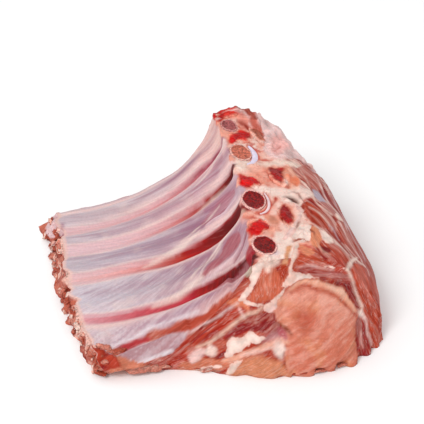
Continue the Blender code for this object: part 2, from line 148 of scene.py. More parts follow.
# ---- the bones' ends and the loose scraps ----
CAP_SCALES = (0.985, 0.95, 0.90, 0.84, 0.76, 0.66, 0.54, 0.42, 0.30, 0.18, 0.08)
CAP_DISH = 0.0008         # how far the marrow lies below a sawn rim
HEAD_STATIONS, TIP_STATIONS = 9, 13   # rings that show behind a head, and those at a tip
CRESCENT_STATIONS, CRESCENT_SIDES = 36, 16
SCRAP_RINGS, SCRAP_SIDES = 11, 20
TIP_SCRAPS, TIP_SCRAP = 66, (0.0032, 0.0062, 0.0034)
FOOT_SCRAPS, FOOT_SCRAP = 20, (0.0085, 0.0030, 0.0022)
CORNER_SCRAPS, CORNER_SCRAP = 34, (0.0052, 0.0022, 0.0018)
TIP_SCRAP_SHARES, CORNER_SCRAP_SHARES = (0.35, 0.35, 0.18, 0.12), (0.4, 0.4, 0.15, 0.05)
ON_GROUND = 0.0004        # the lowest that a scrap reaches
CAP_SEED, RIB_SEED, STUMP_SEED, BONE_SEED, CRESCENT_SEED = 100, 110, 120, 130, 140
SCRAP_SEED, SCRAP_TONE_SEED = 200, 300

# ---- view and light ----
CAMERA_AZIMUTH, CAMERA_ELEVATION = -12.0, 35.0
CAMERA_DISTANCE, CAMERA_LENS = 1.60, 129.0
CAMERA_TARGET = (-0.025, 0.139, 0.090)
WORLD_LIGHT = 0.80
KEY_PLACE, KEY_SIZE, KEY_POWER = (-2.6, -2.2, 3.9), 2.2, 118.0
KEY_TARGET = (0, 0, 0.05)
SHEEN = 0.055             # how much darker the dark tones are painted
PAINT = 0.90              # share of every painted tone, to suit the bright lamps
SHINE = 0.2               # specular level of the flesh, the bones and the floor
FLOOR_TONE = (0.97, 0.97, 0.97)
FLOOR_HALF = 4.0

# ---- colours, linear ----
LILAC = (0.55, 0.45, 0.50)
# the membrane's pale pearl, laid in streaks that are partly its own fibres and partly a painted sheen
PEARL_AND_SHEEN = (0.80, 0.72, 0.75)
HAZE = (0.38, 0.23, 0.29)
# tone of the dark stripe on each band: the bone under the membrane, with painted shade
BAND_BONE_AND_SHADE = (0.361, 0.184, 0.2465)
ROSE = (0.76, 0.50, 0.52)
BUTTER = (0.84, 0.66, 0.60)
CREAM = (0.86, 0.56, 0.44)
IVORY = (0.90, 0.68, 0.59)
WHITE_FAT = (0.92, 0.71, 0.63)
FAT_EDGE = (0.82, 0.44, 0.36)
BLUSH_FAT = (0.88, 0.62, 0.58)
MEAT = (0.36, 0.065, 0.050)
MEAT_LIGHT = (0.56, 0.17, 0.12)
MEAT_DARK = (0.22, 0.028, 0.025)
FRONT_MEAT = (0.42, 0.075, 0.055)
BACK_MEAT = (0.39, 0.075, 0.056)
BACK_STREAK = (0.72, 0.43, 0.38)
TIP_MEAT = (0.46, 0.15, 0.12)
EYE = (0.65, 0.215, 0.15)
# the rib eye's tone at its top, lighter as painted light; toward its foot it turns to EYE, as painted
# shade
EYE_LIT_TOP = (0.76, 0.33, 0.25)
EYE_DARK = (0.52, 0.13, 0.085)
# the second tone on the next line is a painted glint, laid in pale streaks along the rib eye's fibres
EYE_CLOUD, EYE_GLINT = (0.74, 0.30, 0.17), (0.84, 0.46, 0.38)
ORANGE_MEAT = (0.68, 0.29, 0.19)
# dark of the slits between muscles: painted shade inside them
SLIT_SHADE = (0.20, 0.05, 0.035)
PURPLE = (0.40, 0.16, 0.21)
SILVER = (0.66, 0.47, 0.50)
FACET_FAT = (0.88, 0.52, 0.44)
STAIN = (0.86, 0.34, 0.25)
RED_STAIN = (0.56, 0.08, 0.06)
BLOOD = (0.58, 0.030, 0.026)
CLOT = (0.34, 0.035, 0.028)
CARTILAGE_TONES = {2: (0.80, 0.72, 0.88), 3: (0.86, 0.66, 0.68)}
SCRAP_TONES = ((0.42, 0.11, 0.08), (0.58, 0.22, 0.17), (0.80, 0.42, 0.34), (0.86, 0.62, 0.54))
# painted highlight, laid along both edges of each rib band where the rounded rib catches the light
PAINTED_RIDGE_HIGHLIGHT = (0.86, 0.60, 0.57)
TORN_EDGE = (0.84, 0.55, 0.49)
TIP_FAT, TIP_RIM = (0.84, 0.48, 0.40), (0.86, 0.55, 0.48)
BARE_END, BURIED_RIM, RIB_TIP = (0.62, 0.22, 0.17), (0.50, 0.20, 0.17), (0.76, 0.46, 0.40)
CRACK = (0.50, 0.12, 0.09)

# Membrane from rib tip to chine, rear band first.
BAND_TONES = (
    ((0.59, 0.48, 0.52), (0.60, 0.46, 0.48), (0.62, 0.44, 0.46), (0.70, 0.44, 0.42), (0.77, 0.45, 0.39)),
    ((0.57, 0.46, 0.50), (0.56, 0.42, 0.46), (0.57, 0.36, 0.39), (0.60, 0.37, 0.40), (0.74, 0.48, 0.46)),
    ((0.55, 0.47, 0.52), (0.50, 0.40, 0.46), (0.40, 0.25, 0.31), (0.38, 0.18, 0.24), (0.56, 0.38, 0.42)),
    ((0.64, 0.56, 0.62), (0.56, 0.46, 0.51), (0.42, 0.27, 0.32), (0.40, 0.20, 0.24), (0.50, 0.30, 0.34)),
    ((0.71, 0.56, 0.59), (0.71, 0.51, 0.53), (0.66, 0.43, 0.44), (0.52, 0.29, 0.30), (0.46, 0.22, 0.23)),
)
# Where the dark stripe of each band lies, from its front (0) to its rear (1); the stripe is the bone
# showing through the membrane, deepened toward the chine as painted shade.
STRIPE_AT = (0.50, 0.50, 0.57, 0.66, 0.62)
# Grooves, rear first: half widths of the pink and of the red from tip to chine, the
# red's tones, and how strong the buttery border is.
GROOVE_LOOK = (
    ((0.75, 0.60, 0.50, 0.45, 0.40), (0.10, 0.12, 0.18, 0.24, 0.26),
     ((0.74, 0.46, 0.47), (0.72, 0.40, 0.41), (0.64, 0.27, 0.28),
      (0.44, 0.13, 0.16), (0.36, 0.14, 0.18)), 0.35),
    ((1.00, 0.95, 0.80, 0.75, 0.65), (0.20, 0.24, 0.32, 0.55, 0.55),
     ((0.77, 0.53, 0.56), (0.75, 0.47, 0.49), (0.62, 0.24, 0.24),
      (0.40, 0.03, 0.03), (0.20, 0.025, 0.03)), 0.45),
    ((0.95, 0.95, 0.85, 1.05, 1.10), (0.28, 0.40, 0.56, 0.90, 0.95),
     ((0.80, 0.50, 0.50), (0.72, 0.34, 0.33), (0.46, 0.08, 0.07),
      (0.40, 0.018, 0.020), (0.22, 0.02, 0.025)), 0.55),
    ((0.85, 0.80, 0.78, 1.00, 1.00), (0.36, 0.50, 0.60, 0.86, 0.86),
     ((0.72, 0.35, 0.38), (0.55, 0.13, 0.15), (0.48, 0.070, 0.085),
      (0.34, 0.012, 0.02), (0.15, 0.010, 0.015)), 0.6),
)
# Sawn rib heads: rim and marrow. The two short ribs end inside the meat.
HEAD_TONES = (
    ((0.66, 0.32, 0.30), (0.42, 0.14, 0.14)),
    ((0.84, 0.48, 0.42), (0.62, 0.19, 0.135)),
    ((0.88, 0.50, 0.45), (0.30, 0.016, 0.014)),
    ((0.88, 0.50, 0.45), (0.27, 0.012, 0.012)),
    (MEAT, MEAT),
    (MEAT, MEAT),
)
HEAD_HOLLOWS = (0.3, 0.3, 0.55, 0.55)   # how dark the marrow's holes are
# Bright wedges of vertebra, then browner sawn spines, by x and y in centimetres.
WEDGES = (
    ((0.62, 0.07, 0.06), (
        (0.3, 25.3), (0.7, 26.4), (1.6, 26.8), (2.9, 26.7), (2.7, 26.1), (1.7, 25.9), (0.9, 25.1))),
    (BLOOD, (
        (1.2, 22.0), (1.9, 23.2), (3.1, 24.1), (3.8, 23.7), (3.9, 22.7), (3.2, 22.2), (2.1, 21.9),
        (1.3, 21.3))),
    (BLOOD, ((0.8, 15.7), (1.6, 15.1), (2.3, 14.6), (3.0, 14.0), (1.9, 13.5), (0.6, 13.2))),
    (BLOOD, (
        (-0.4, 6.5), (0.2, 7.4), (1.1, 7.9), (1.7, 7.3), (2.4, 6.9), (2.2, 6.5), (1.1, 6.2), (0.1, 5.7))),
    (CLOT, ((3.6, 9.5), (4.3, 10.3), (4.8, 9.6), (4.7, 8.1), (4.1, 6.9), (3.6, 7.4), (3.4, 8.4))),
    (CLOT, ((4.2, 17.1), (5.4, 16.9), (6.1, 16.7), (5.5, 15.1), (4.9, 13.9), (4.4, 15.1))),
    ((0.42, 0.14, 0.10), ((4.2, 25.0), (4.9, 25.1), (5.4, 24.2), (5.4, 23.0), (4.7, 22.4), (4.1, 23.5))),
    ((0.58, 0.24, 0.17), ((2.2, 8.5), (2.8, 8.6), (3.1, 7.6), (2.7, 7.2), (2.2, 7.7))),
    ((0.40, 0.03, 0.03), ((3.7, 11.9), (3.9, 11.2), (3.1, 10.0), (1.9, 9.1), (2.4, 9.8), (3.3, 10.9))),
)
# Muscles, fat and soft areas: side, tone, how it is laid, outline.
PATCHES = (
    # meat bared between the two front ribs, the front rib's film, and the torn corner
    (TOP, (0.54, 0.15, 0.11), dict(fibre=0.9, lift=-0.04), (
        (128, 128), (155, 140), (187, 118), (237, 96), (285, 56), (340, 30), (400, 4), (330, -40),
        (241, 0), (192, 64), (155, 78), (132, 94))),
    (TOP, (0.46, 0.075, 0.080), dict(fibre=0.6, lift=-0.06, edge=0.28, rough=0.6), (
        (42, 104), (81, 128), (130, 130), (140, 104), (96, 90), (51, 68))),
    (RIM, (0.60, 0.21, 0.14), dict(fibre=0.6, lift=0.10, rough=1.5), (
        (-15.6, 3.0), (-14.7, 3.4), (-13.7, 3.2), (-13.0, 2.2), (-11.5, 0.9), (-11.5, -0.6),
        (-15.6, -0.6))),
    (RIM, (0.48, 0.08, 0.06), dict(fibre=0.9, rough=0.3), (
        (-11.8, 1.8), (-10.3, 2.5), (-9.1, 2.8), (-8.3, 3.6), (-7.6, 4.0), (-7.2, 2.9), (-8.1, 1.6),
        (-8.7, 0.4), (-10.2, 0.1))),
    (RIM, (0.46, 0.26, 0.28), dict(fibre=0.3, wet=0.6, lift=0.06, streaky=0.35), (
        (-14.4, 3.4), (-13.0, 4.1), (-10.7, 4.6), (-8.7, 4.9), (-7.6, 4.6), (-8.4, 3.4), (-9.4, 2.6),
        (-11.5, 2.3), (-13.2, 2.2))),
    (TOP, (0.42, 0.075, 0.055), dict(fibre=0.5, lift=0.20, rough=3.0), (
        (-20, 146), (0, 128), (18, 116), (36, 98), (46, 64), (50, 22), (44, -50), (-20, -50))),
    # purple wedges of muscle under the film, near the chine
    (TOP, (0.42, 0.16, 0.20), dict(share=0.85, fibre=0.6, lift=-0.05, streaky=0.10), (
        (328, 537), (363, 557), (405, 559), (463, 515), (474, 468), (440, 462), (402, 464), (362, 480),
        (338, 500))),
    (TOP, (0.40, 0.12, 0.14), dict(share=0.85, fibre=0.6, lift=-0.05, streaky=0.08), (
        (316, 208), (336, 232), (366, 243), (396, 262), (424, 280), (463, 244), (466, 182), (425, 182),
        (384, 188), (346, 194))),
    (TOP, PURPLE, dict(share=0.45, fibre=0.6, streaky=0.3), (
        (470, 770), (430, 800), (360, 778), (300, 745), (360, 722), (430, 705))),
    (TOP, (0.50, 0.26, 0.28), dict(share=0.6, fibre=0.6), (
        (470, 60), (430, 90), (380, 98), (350, 78), (400, 40), (440, 20))),
    (TOP, (0.38, 0.06, 0.07), dict(share=0.9, fibre=0.6, lift=-0.05), (
        (500, 100), (478, 90), (455, 50), (470, 20), (500, 30), (512, 70))),
    # facet: fat, stained fat and meat between the bones
    (TOP, (0.92, 0.72, 0.62), dict(share=0.85, lift=0.05, rough=0.9, edge=0.3), (
        (516, 660), (545, 640), (590, 640), (637, 673), (719, 661), (690, 583), (656, 620), (598, 612),
        (558, 575), (507, 570))),
    (TOP, WHITE_FAT, dict(share=0.85, lift=0.05, rough=0.9, edge=0.3), (
        (546, 457), (573, 436), (606, 440), (659, 470), (700, 423), (652, 360), (624, 335), (597, 341),
        (592, 389), (556, 405))),
    (TOP, STAIN, dict(share=0.65, rough=0.9, edge=0.5), (
        (535, 595), (577, 613), (603, 537), (580, 455), (547, 477), (534, 535))),
    (TOP, (0.84, 0.40, 0.28), dict(share=0.6, rough=0.9, edge=0.4), (
        (646, 625), (676, 581), (659, 467), (621, 435), (613, 507))),
    (TOP, (0.84, 0.44, 0.34), dict(share=0.55, rough=0.9, edge=0.4), (
        (538, 226), (567, 192), (583, 152), (567, 120), (543, 162))),
    (TOP, STAIN, dict(share=0.5, rough=0.9, edge=0.4), (
        (485, 329), (519, 281), (511, 220), (478, 279))),
    (TOP, (0.82, 0.22, 0.12), dict(rough=0.9, share=0.85, edge=0.3), (
        (634, 543), (668, 523), (648, 467), (624, 487))),
    (TOP, WHITE_FAT, dict(share=0.9, lift=0.06, rough=0.9, edge=0.25), (
        (564, 150), (592, 120), (600, 42), (590, -30), (544, -40), (521, -20), (542, 30))),
    (TOP, (0.80, 0.62, 0.66), dict(share=0.8), ((535, 56), (560, 52), (560, 0), (533, -6))),
    (TOP, WHITE_FAT, dict(crisp=True, lift=0.08, rough=1.0), (
        (608, 186), (633, 198), (659, 172), (652, 112), (622, 76), (603, 100), (596, 140))),
    (TOP, (0.74, 0.28, 0.17), dict(fibre=0.6, rough=0.4), (
        (655, 180), (679, 172), (690, 108), (670, 58), (642, 80))),
    (TOP, (0.50, 0.045, 0.035), dict(fibre=0.5, lift=0.08, rough=2.0), (
        (490, 1040), (492, 950), (520, 972), (545, 990), (575, 985), (585, 1040))),
    (TOP, (0.42, 0.10, 0.08), dict(fibre=0.5, lift=0.08, rough=2.0), (
        (570, 1040), (575, 968), (600, 950), (632, 945), (655, 960), (662, 1040))),
    (TOP, (0.76, 0.26, 0.22), dict(share=0.6, fibre=0.4, rough=1.0, edge=0.4), (
        (575, 960), (600, 945), (640, 940), (640, 900), (600, 890), (575, 910))),
    (TOP, (0.52, 0.13, 0.10), dict(share=0.7, fibre=0.5, rough=1.2, edge=0.35), (
        (603, 1000), (656, 1000), (682, 950), (637, 830), (614, 836), (608, 914))),
    # muscles down the outer back, from the far end forward
    (TOP, (0.50, 0.16, 0.13), dict(fibre=0.9, pale=0.5), (
        (665, 611), (694, 623), (745, 683), (789, 657), (766, 549), (740, 500), (713, 443), (699, 457),
        (690, 527))),
    (TOP, (0.50, 0.40, 0.47), dict(wet=0.7), (
        (715, 478), (744, 480), (757, 429), (722, 377), (706, 411))),
    (TOP, (0.46, 0.12, 0.10), dict(fibre=0.9, pale=0.45), (
        (719, 389), (761, 437), (779, 407), (765, 349), (731, 305), (713, 337))),
    (TOP, (0.44, 0.085, 0.060), dict(fibre=0.9, lift=0.06, pale=0.4), (
        (632, 329), (669, 350), (701, 299), (738, 259), (734, 218), (694, 190), (657, 200),
        (634, 246))),
    (TOP, (0.43, 0.080, 0.056), dict(fibre=0.9, lift=0.08, pale=0.4), (
        (751, 261), (798, 339), (825, 303), (840, 224), (860, 176), (812, 130), (780, 172))),
    (TOP, (0.47, 0.095, 0.068), dict(fibre=0.9, lift=0.05, pale=0.4), (
        (687, 108), (733, 116), (763, 96), (779, 54), (744, 16), (702, 10), (676, 48))),
    (TOP, (0.24, 0.05, 0.045), dict(fibre=0.5), ((681, 66), (706, 78), (717, 58), (690, 34))),
    (TOP, WHITE_FAT, dict(crisp=True, lift=0.05, rough=0.8), (
        (682, 180), (706, 184), (730, 148), (728, 118), (703, 104), (688, 134))),
    (TOP, IVORY, dict(crisp=True, lift=0.04, rough=0.3), (
        (758, 345), (780, 365), (790, 331), (762, 300))),
    # skin over the far shoulder
    (TOP, (0.82, 0.58, 0.56), dict(share=0.92, fibre=0.2, wet=0.6, lift=0.10, rough=2.0, edge=0.25), (
        (640, 1030), (723, 1030), (800, 956), (810, 850), (780, 740), (687, 690), (620, 668),
        (606, 745), (640, 878), (632, 940))),
    (TOP, (0.84, 0.36, 0.32), dict(share=0.6, fibre=0.2, rough=1.0, edge=0.5), (
        (675, 858), (730, 884), (715, 788), (640, 707), (625, 754))),
    # front cut: the muscles round the block beside the chine
    (RIM, (0.50, 0.105, 0.075), dict(fibre=0.8, pale=0.15, run=(32, 12.0, 1.2)), (
        (-1.2, 8.8), (-1.7, 7.5), (-2.4, 6.8), (-3.8, 6.1), (-5.8, 5.4), (-7.5, 4.5), (-9.4, 4.9),
        (-10.3, 5.6), (-8.9, 6.1), (-6.7, 6.3), (-4.9, 6.5), (-3.0, 7.8), (-1.5, 9.0))),
    (RIM, (0.70, 0.22, 0.13), dict(fibre=0.6, rough=0.4), (
        (-3.7, 6.7), (-2.6, 7.1), (-1.8, 6.8), (-1.6, 6.2), (-2.6, 6.0))),
    (RIM, (0.44, 0.07, 0.05), dict(fibre=0.8, lift=0.05, pale=0.1, run=(32, 14.0, 1.2)), (
        (-7.6, 3.7), (-5.3, 4.8), (-2.6, 6.3), (-1.8, 5.8), (-2.9, 5.0), (-4.4, 3.8), (-6.1, 2.9),
        (-7.4, 2.7))),
    (RIM, (0.30, 0.036, 0.026), dict(fibre=0.8), (
        (-1.8, 5.6), (-0.4, 6.1), (0.7, 6.0), (0.9, 5.3), (1.4, 4.7), (0.2, 4.4), (-1.7, 4.4),
        (-3.1, 3.7), (-4.2, 3.2), (-3.6, 4.2))),
    (RIM, (0.60, 0.155, 0.10), dict(fibre=0.45, lift=0.08, rough=0.8, run=(80, 6.0, 1.4)), (
        (0.0, 10.3), (1.0, 10.4), (1.6, 9.5), (2.4, 9.2), (2.1, 8.0), (1.3, 7.2), (0.7, 6.9),
        (-0.3, 6.9), (-1.6, 7.1), (-1.0, 8.2))),
    (RIM, IVORY, dict(share=0.9, edge=0.3, lift=0.04, rough=1.2), (
        (-0.4, 10.2), (0.0, 11.3), (1.3, 11.4), (1.9, 10.6), (1.5, 10.0), (1.0, 9.9), (0.6, 9.6),
        (0.1, 9.9))),
    (RIM, (0.72, 0.34, 0.20), dict(fibre=0.4), (
        (3.3, 12.2), (2.9, 11.0), (2.7, 10.0), (1.9, 9.3), (2.2, 10.4), (2.7, 12.2))),
    (RIM, (0.42, 0.075, 0.05), dict(fibre=0.6), ((1.8, 9.8), (2.6, 10.0), (2.5, 9.1), (1.9, 8.7))),
    (RIM, WHITE_FAT, dict(crisp=True, lift=0.05, rough=0.6), (
        (-1.5, 9.9), (-0.6, 10.9), (0.5, 10.6), (-0.1, 9.6), (-0.8, 8.5), (-1.5, 7.4), (-2.0, 7.0),
        (-2.5, 6.9), (-1.8, 7.9), (-1.25, 8.7), (-1.4, 9.3))),
    (RIM, (0.52, 0.45, 0.36), dict(share=0.8), ((-1.8, 10.3), (-1.2, 10.4), (-1.1, 9.7), (-1.6, 9.3))),
    (RIM, BLUSH_FAT, dict(crisp=True, lift=0.05, rough=0.8), (
        (-0.3, 6.6), (0.6, 6.9), (1.4, 7.3), (1.0, 6.4), (0.4, 6.0), (-0.1, 6.3))),
    # the muscles over the rib eye
    (RIM, (0.52, 0.11, 0.075), dict(fibre=0.9, run=(-25, 8.0, 1.2)), (
        (3.5, 10.1), (4.4, 11.6), (5.5, 11.5), (6.4, 10.1), (7.2, 9.6), (5.7, 9.5), (3.9, 9.5))),
    (RIM, (0.72, 0.26, 0.16), dict(fibre=0.6, rough=0.3), (
        (3.9, 12.3), (4.9, 12.0), (5.5, 10.9), (4.5, 10.7))),
    (RIM, (0.46, 0.085, 0.065), dict(fibre=0.9), (
        (6.9, 10.3), (8.3, 9.9), (8.7, 8.2), (9.4, 7.1), (8.0, 8.0), (6.6, 9.0))),
    (RIM, (0.38, 0.085, 0.075), dict(fibre=0.9, run=(-12, 12.0, 1.0)), (
        (3.5, 9.2), (4.8, 9.4), (6.1, 9.1), (8.5, 8.3), (9.1, 7.1), (6.9, 7.9), (5.1, 8.5))),
    (RIM, (0.34, 0.06, 0.05), dict(fibre=0.9, run=(-60, 10.0, 1.2)), (
        (8.3, 7.2), (9.3, 7.1), (9.8, 5.6), (9.9, 4.5), (9.1, 5.8))),
    (RIM, (0.48, 0.090, 0.060), dict(fibre=0.85, lift=0.10, pale=0.16, run=(-68, 14.0, 1.2)), (
        (9.4, 9.5), (10.1, 9.4), (11.0, 8.7), (12.2, 6.3), (13.4, 3.9), (13.6, 0.0), (11.2, -0.4),
        (10.7, 2.4), (10.2, 4.7), (9.7, 6.4), (9.0, 8.1))),
    (RIM, (0.34, 0.05, 0.04), dict(fibre=0.9, rough=0.3, run=(-80, 10.0, 1.2)), (
        (9.4, 3.9), (10.1, 3.7), (10.5, 2.6), (10.8, 0.8), (10.8, -0.4), (9.6, 0.0), (9.1, 1.8),
        (9.0, 3.0))),
    (RIM, WHITE_FAT, dict(crisp=True, lift=0.06), (
        (1.7, 7.9), (2.4, 8.6), (3.0, 9.2), (3.9, 9.0), (5.1, 8.5), (5.9, 8.2), (4.7, 8.15), (3.6, 8.2),
        (2.6, 7.9))),
    (RIM, (0.84, 0.42, 0.30), dict(fibre=0.3, lift=0.07), (
        (2.6, 7.7), (3.8, 8.2), (5.1, 8.2), (6.5, 7.7), (8.0, 7.0), (8.9, 5.8), (9.4, 4.6), (8.9, 4.9),
        (8.0, 6.0), (6.8, 7.0), (5.4, 7.5), (4.1, 7.9), (2.9, 7.5))),
    (RIM, (0.86, 0.52, 0.40), dict(share=0.8, edge=0.2), (
        (6.5, 7.75), (8.2, 6.9), (8.0, 6.6), (6.8, 7.2))),
    # lower fat, film and foot
    (RIM, (0.50, 0.10, 0.07), dict(fibre=0.8), (
        (-7.6, 3.1), (-6.7, 2.6), (-6.1, 2.7), (-7.1, 2.3), (-7.9, 1.8), (-8.2, 2.4))),
    (RIM, (0.60, 0.20, 0.13), dict(fibre=0.7, lift=0.05), (
        (-8.7, 0.9), (-7.8, 1.1), (-6.3, 1.5), (-4.7, 1.4), (-2.9, 2.0), (-4.4, 0.7), (-7.3, -0.4),
        (-8.9, -0.4))),
    (RIM, (0.76, 0.36, 0.26), dict(fibre=0.5, lift=0.06), (
        (-4.7, 1.3), (-3.4, 2.1), (-1.9, 2.8), (-0.1, 3.7), (1.5, 3.9), (1.8, 3.3), (-0.4, 2.9),
        (-2.0, 2.3), (-3.1, 1.6))),
    (RIM, (0.74, 0.46, 0.47), dict(share=0.5, fibre=0.3, edge=0.45), (
        (-0.8, 3.8), (0.3, 4.3), (1.4, 4.3), (1.6, 3.8), (0.1, 3.6))),
    (RIM, (0.90, 0.69, 0.62), dict(share=0.95, fibre=0.3, lift=0.05, edge=0.3, rough=1.0), (
        (0.3, 3.0), (0.7, 3.5), (1.3, 3.4), (1.5, 2.9), (1.1, 2.2), (0.5, 2.4))),
    (RIM, WHITE_FAT, dict(crisp=True, lift=0.07, rough=0.9), (
        (-4.3, 2.1), (-3.6, 3.5), (-2.6, 3.7), (-1.8, 4.35), (-1.2, 4.3), (-0.2, 3.9), (-1.2, 3.5),
        (-2.2, 2.9), (-3.1, 2.4), (-4.0, 1.8))),
    (RIM, BLUSH_FAT, dict(share=0.85, edge=0.25, lift=0.10, rough=0.9), (
        (-7.9, 1.6), (-7.2, 2.4), (-6.2, 2.4), (-6.6, 1.6), (-7.5, 0.9))),
    (RIM, WHITE_FAT, dict(share=0.85, edge=0.25, lift=0.10, rough=0.9), (
        (-6.2, 2.2), (-5.7, 2.7), (-5.1, 2.5), (-5.3, 1.9), (-6.0, 1.7))),
    (RIM, (0.64, 0.25, 0.15), dict(fibre=0.6, lift=0.12, rough=0.6, edge=0.35), (
        (-3.2, 1.3), (-1.5, 2.2), (0.3, 2.0), (1.3, 1.3), (2.2, -0.6), (-1.1, -0.6), (-4.6, -0.6))),
    (RIM, (0.52, 0.13, 0.085), dict(share=0.75, edge=0.7, rough=1.2), (
        (2.5, 6.0), (4.6, 6.1), (5.0, 4.9), (3.4, 4.2))),
    (RIM, (0.48, 0.12, 0.14), dict(share=0.8), ((1.0, 4.7), (1.7, 4.4), (1.7, 3.7), (1.1, 4.0))),
    # rear cut: a smaller eye of meat, its cap, and the flat muscles over the ribs
    (REAR, (0.58, 0.17, 0.115), dict(fibre=0.8, marble=0.3, lift=0.12), (
        (1.8, 3.6), (2.2, 6.0), (3.8, 7.4), (5.8, 7.2), (7.4, 5.8), (8.2, 3.8), (7.6, 1.8), (5.4, 0.9),
        (3.0, 1.4))),
    (REAR, (0.40, 0.07, 0.055), dict(fibre=0.9), (
        (1.2, 8.6), (3.2, 9.6), (6.0, 9.4), (8.4, 7.4), (9.6, 4.6), (9.0, 3.2), (8.2, 5.6), (6.2, 7.9),
        (3.6, 8.3))),
    (REAR, (0.50, 0.11, 0.08), dict(fibre=0.9), (
        (-13.0, 0.6), (-9.0, 0.8), (-4.0, 2.2), (-1.0, 5.0), (0.4, 8.0), (-1.6, 6.2), (-5.0, 4.0),
        (-10.0, 2.0))),
    (REAR, ORANGE_MEAT, dict(share=0.8, fibre=0.7), (
        (-8.0, -0.5), (-3.0, 1.0), (1.0, 1.8), (1.0, -0.5))),
    (REAR, WHITE_FAT, dict(crisp=True, lift=0.12, rough=0.4), (
        (-3.9, 3.4), (-3.0, 4.3), (-1.8, 5.3), (-1.0, 5.4), (-1.4, 4.4), (-2.6, 3.3))),
    # tip face: the flat pale end behind the first rib
    (TIP, (0.74, 0.52, 0.53), dict(lift=0.05), (
        (23.2, 1.9), (24.0, 0.9), (26.0, 0.5), (27.9, 0.8), (27.9, 2.2), (24.0, 2.2))),
    (TIP, (0.84, 0.55, 0.48), dict(rough=1.0, lift=0.08), (
        (5.4, 1.6), (6.0, 0.8), (7.6, 0.5), (9.4, 1.0), (9.0, 1.8), (7.0, 1.9))),
)
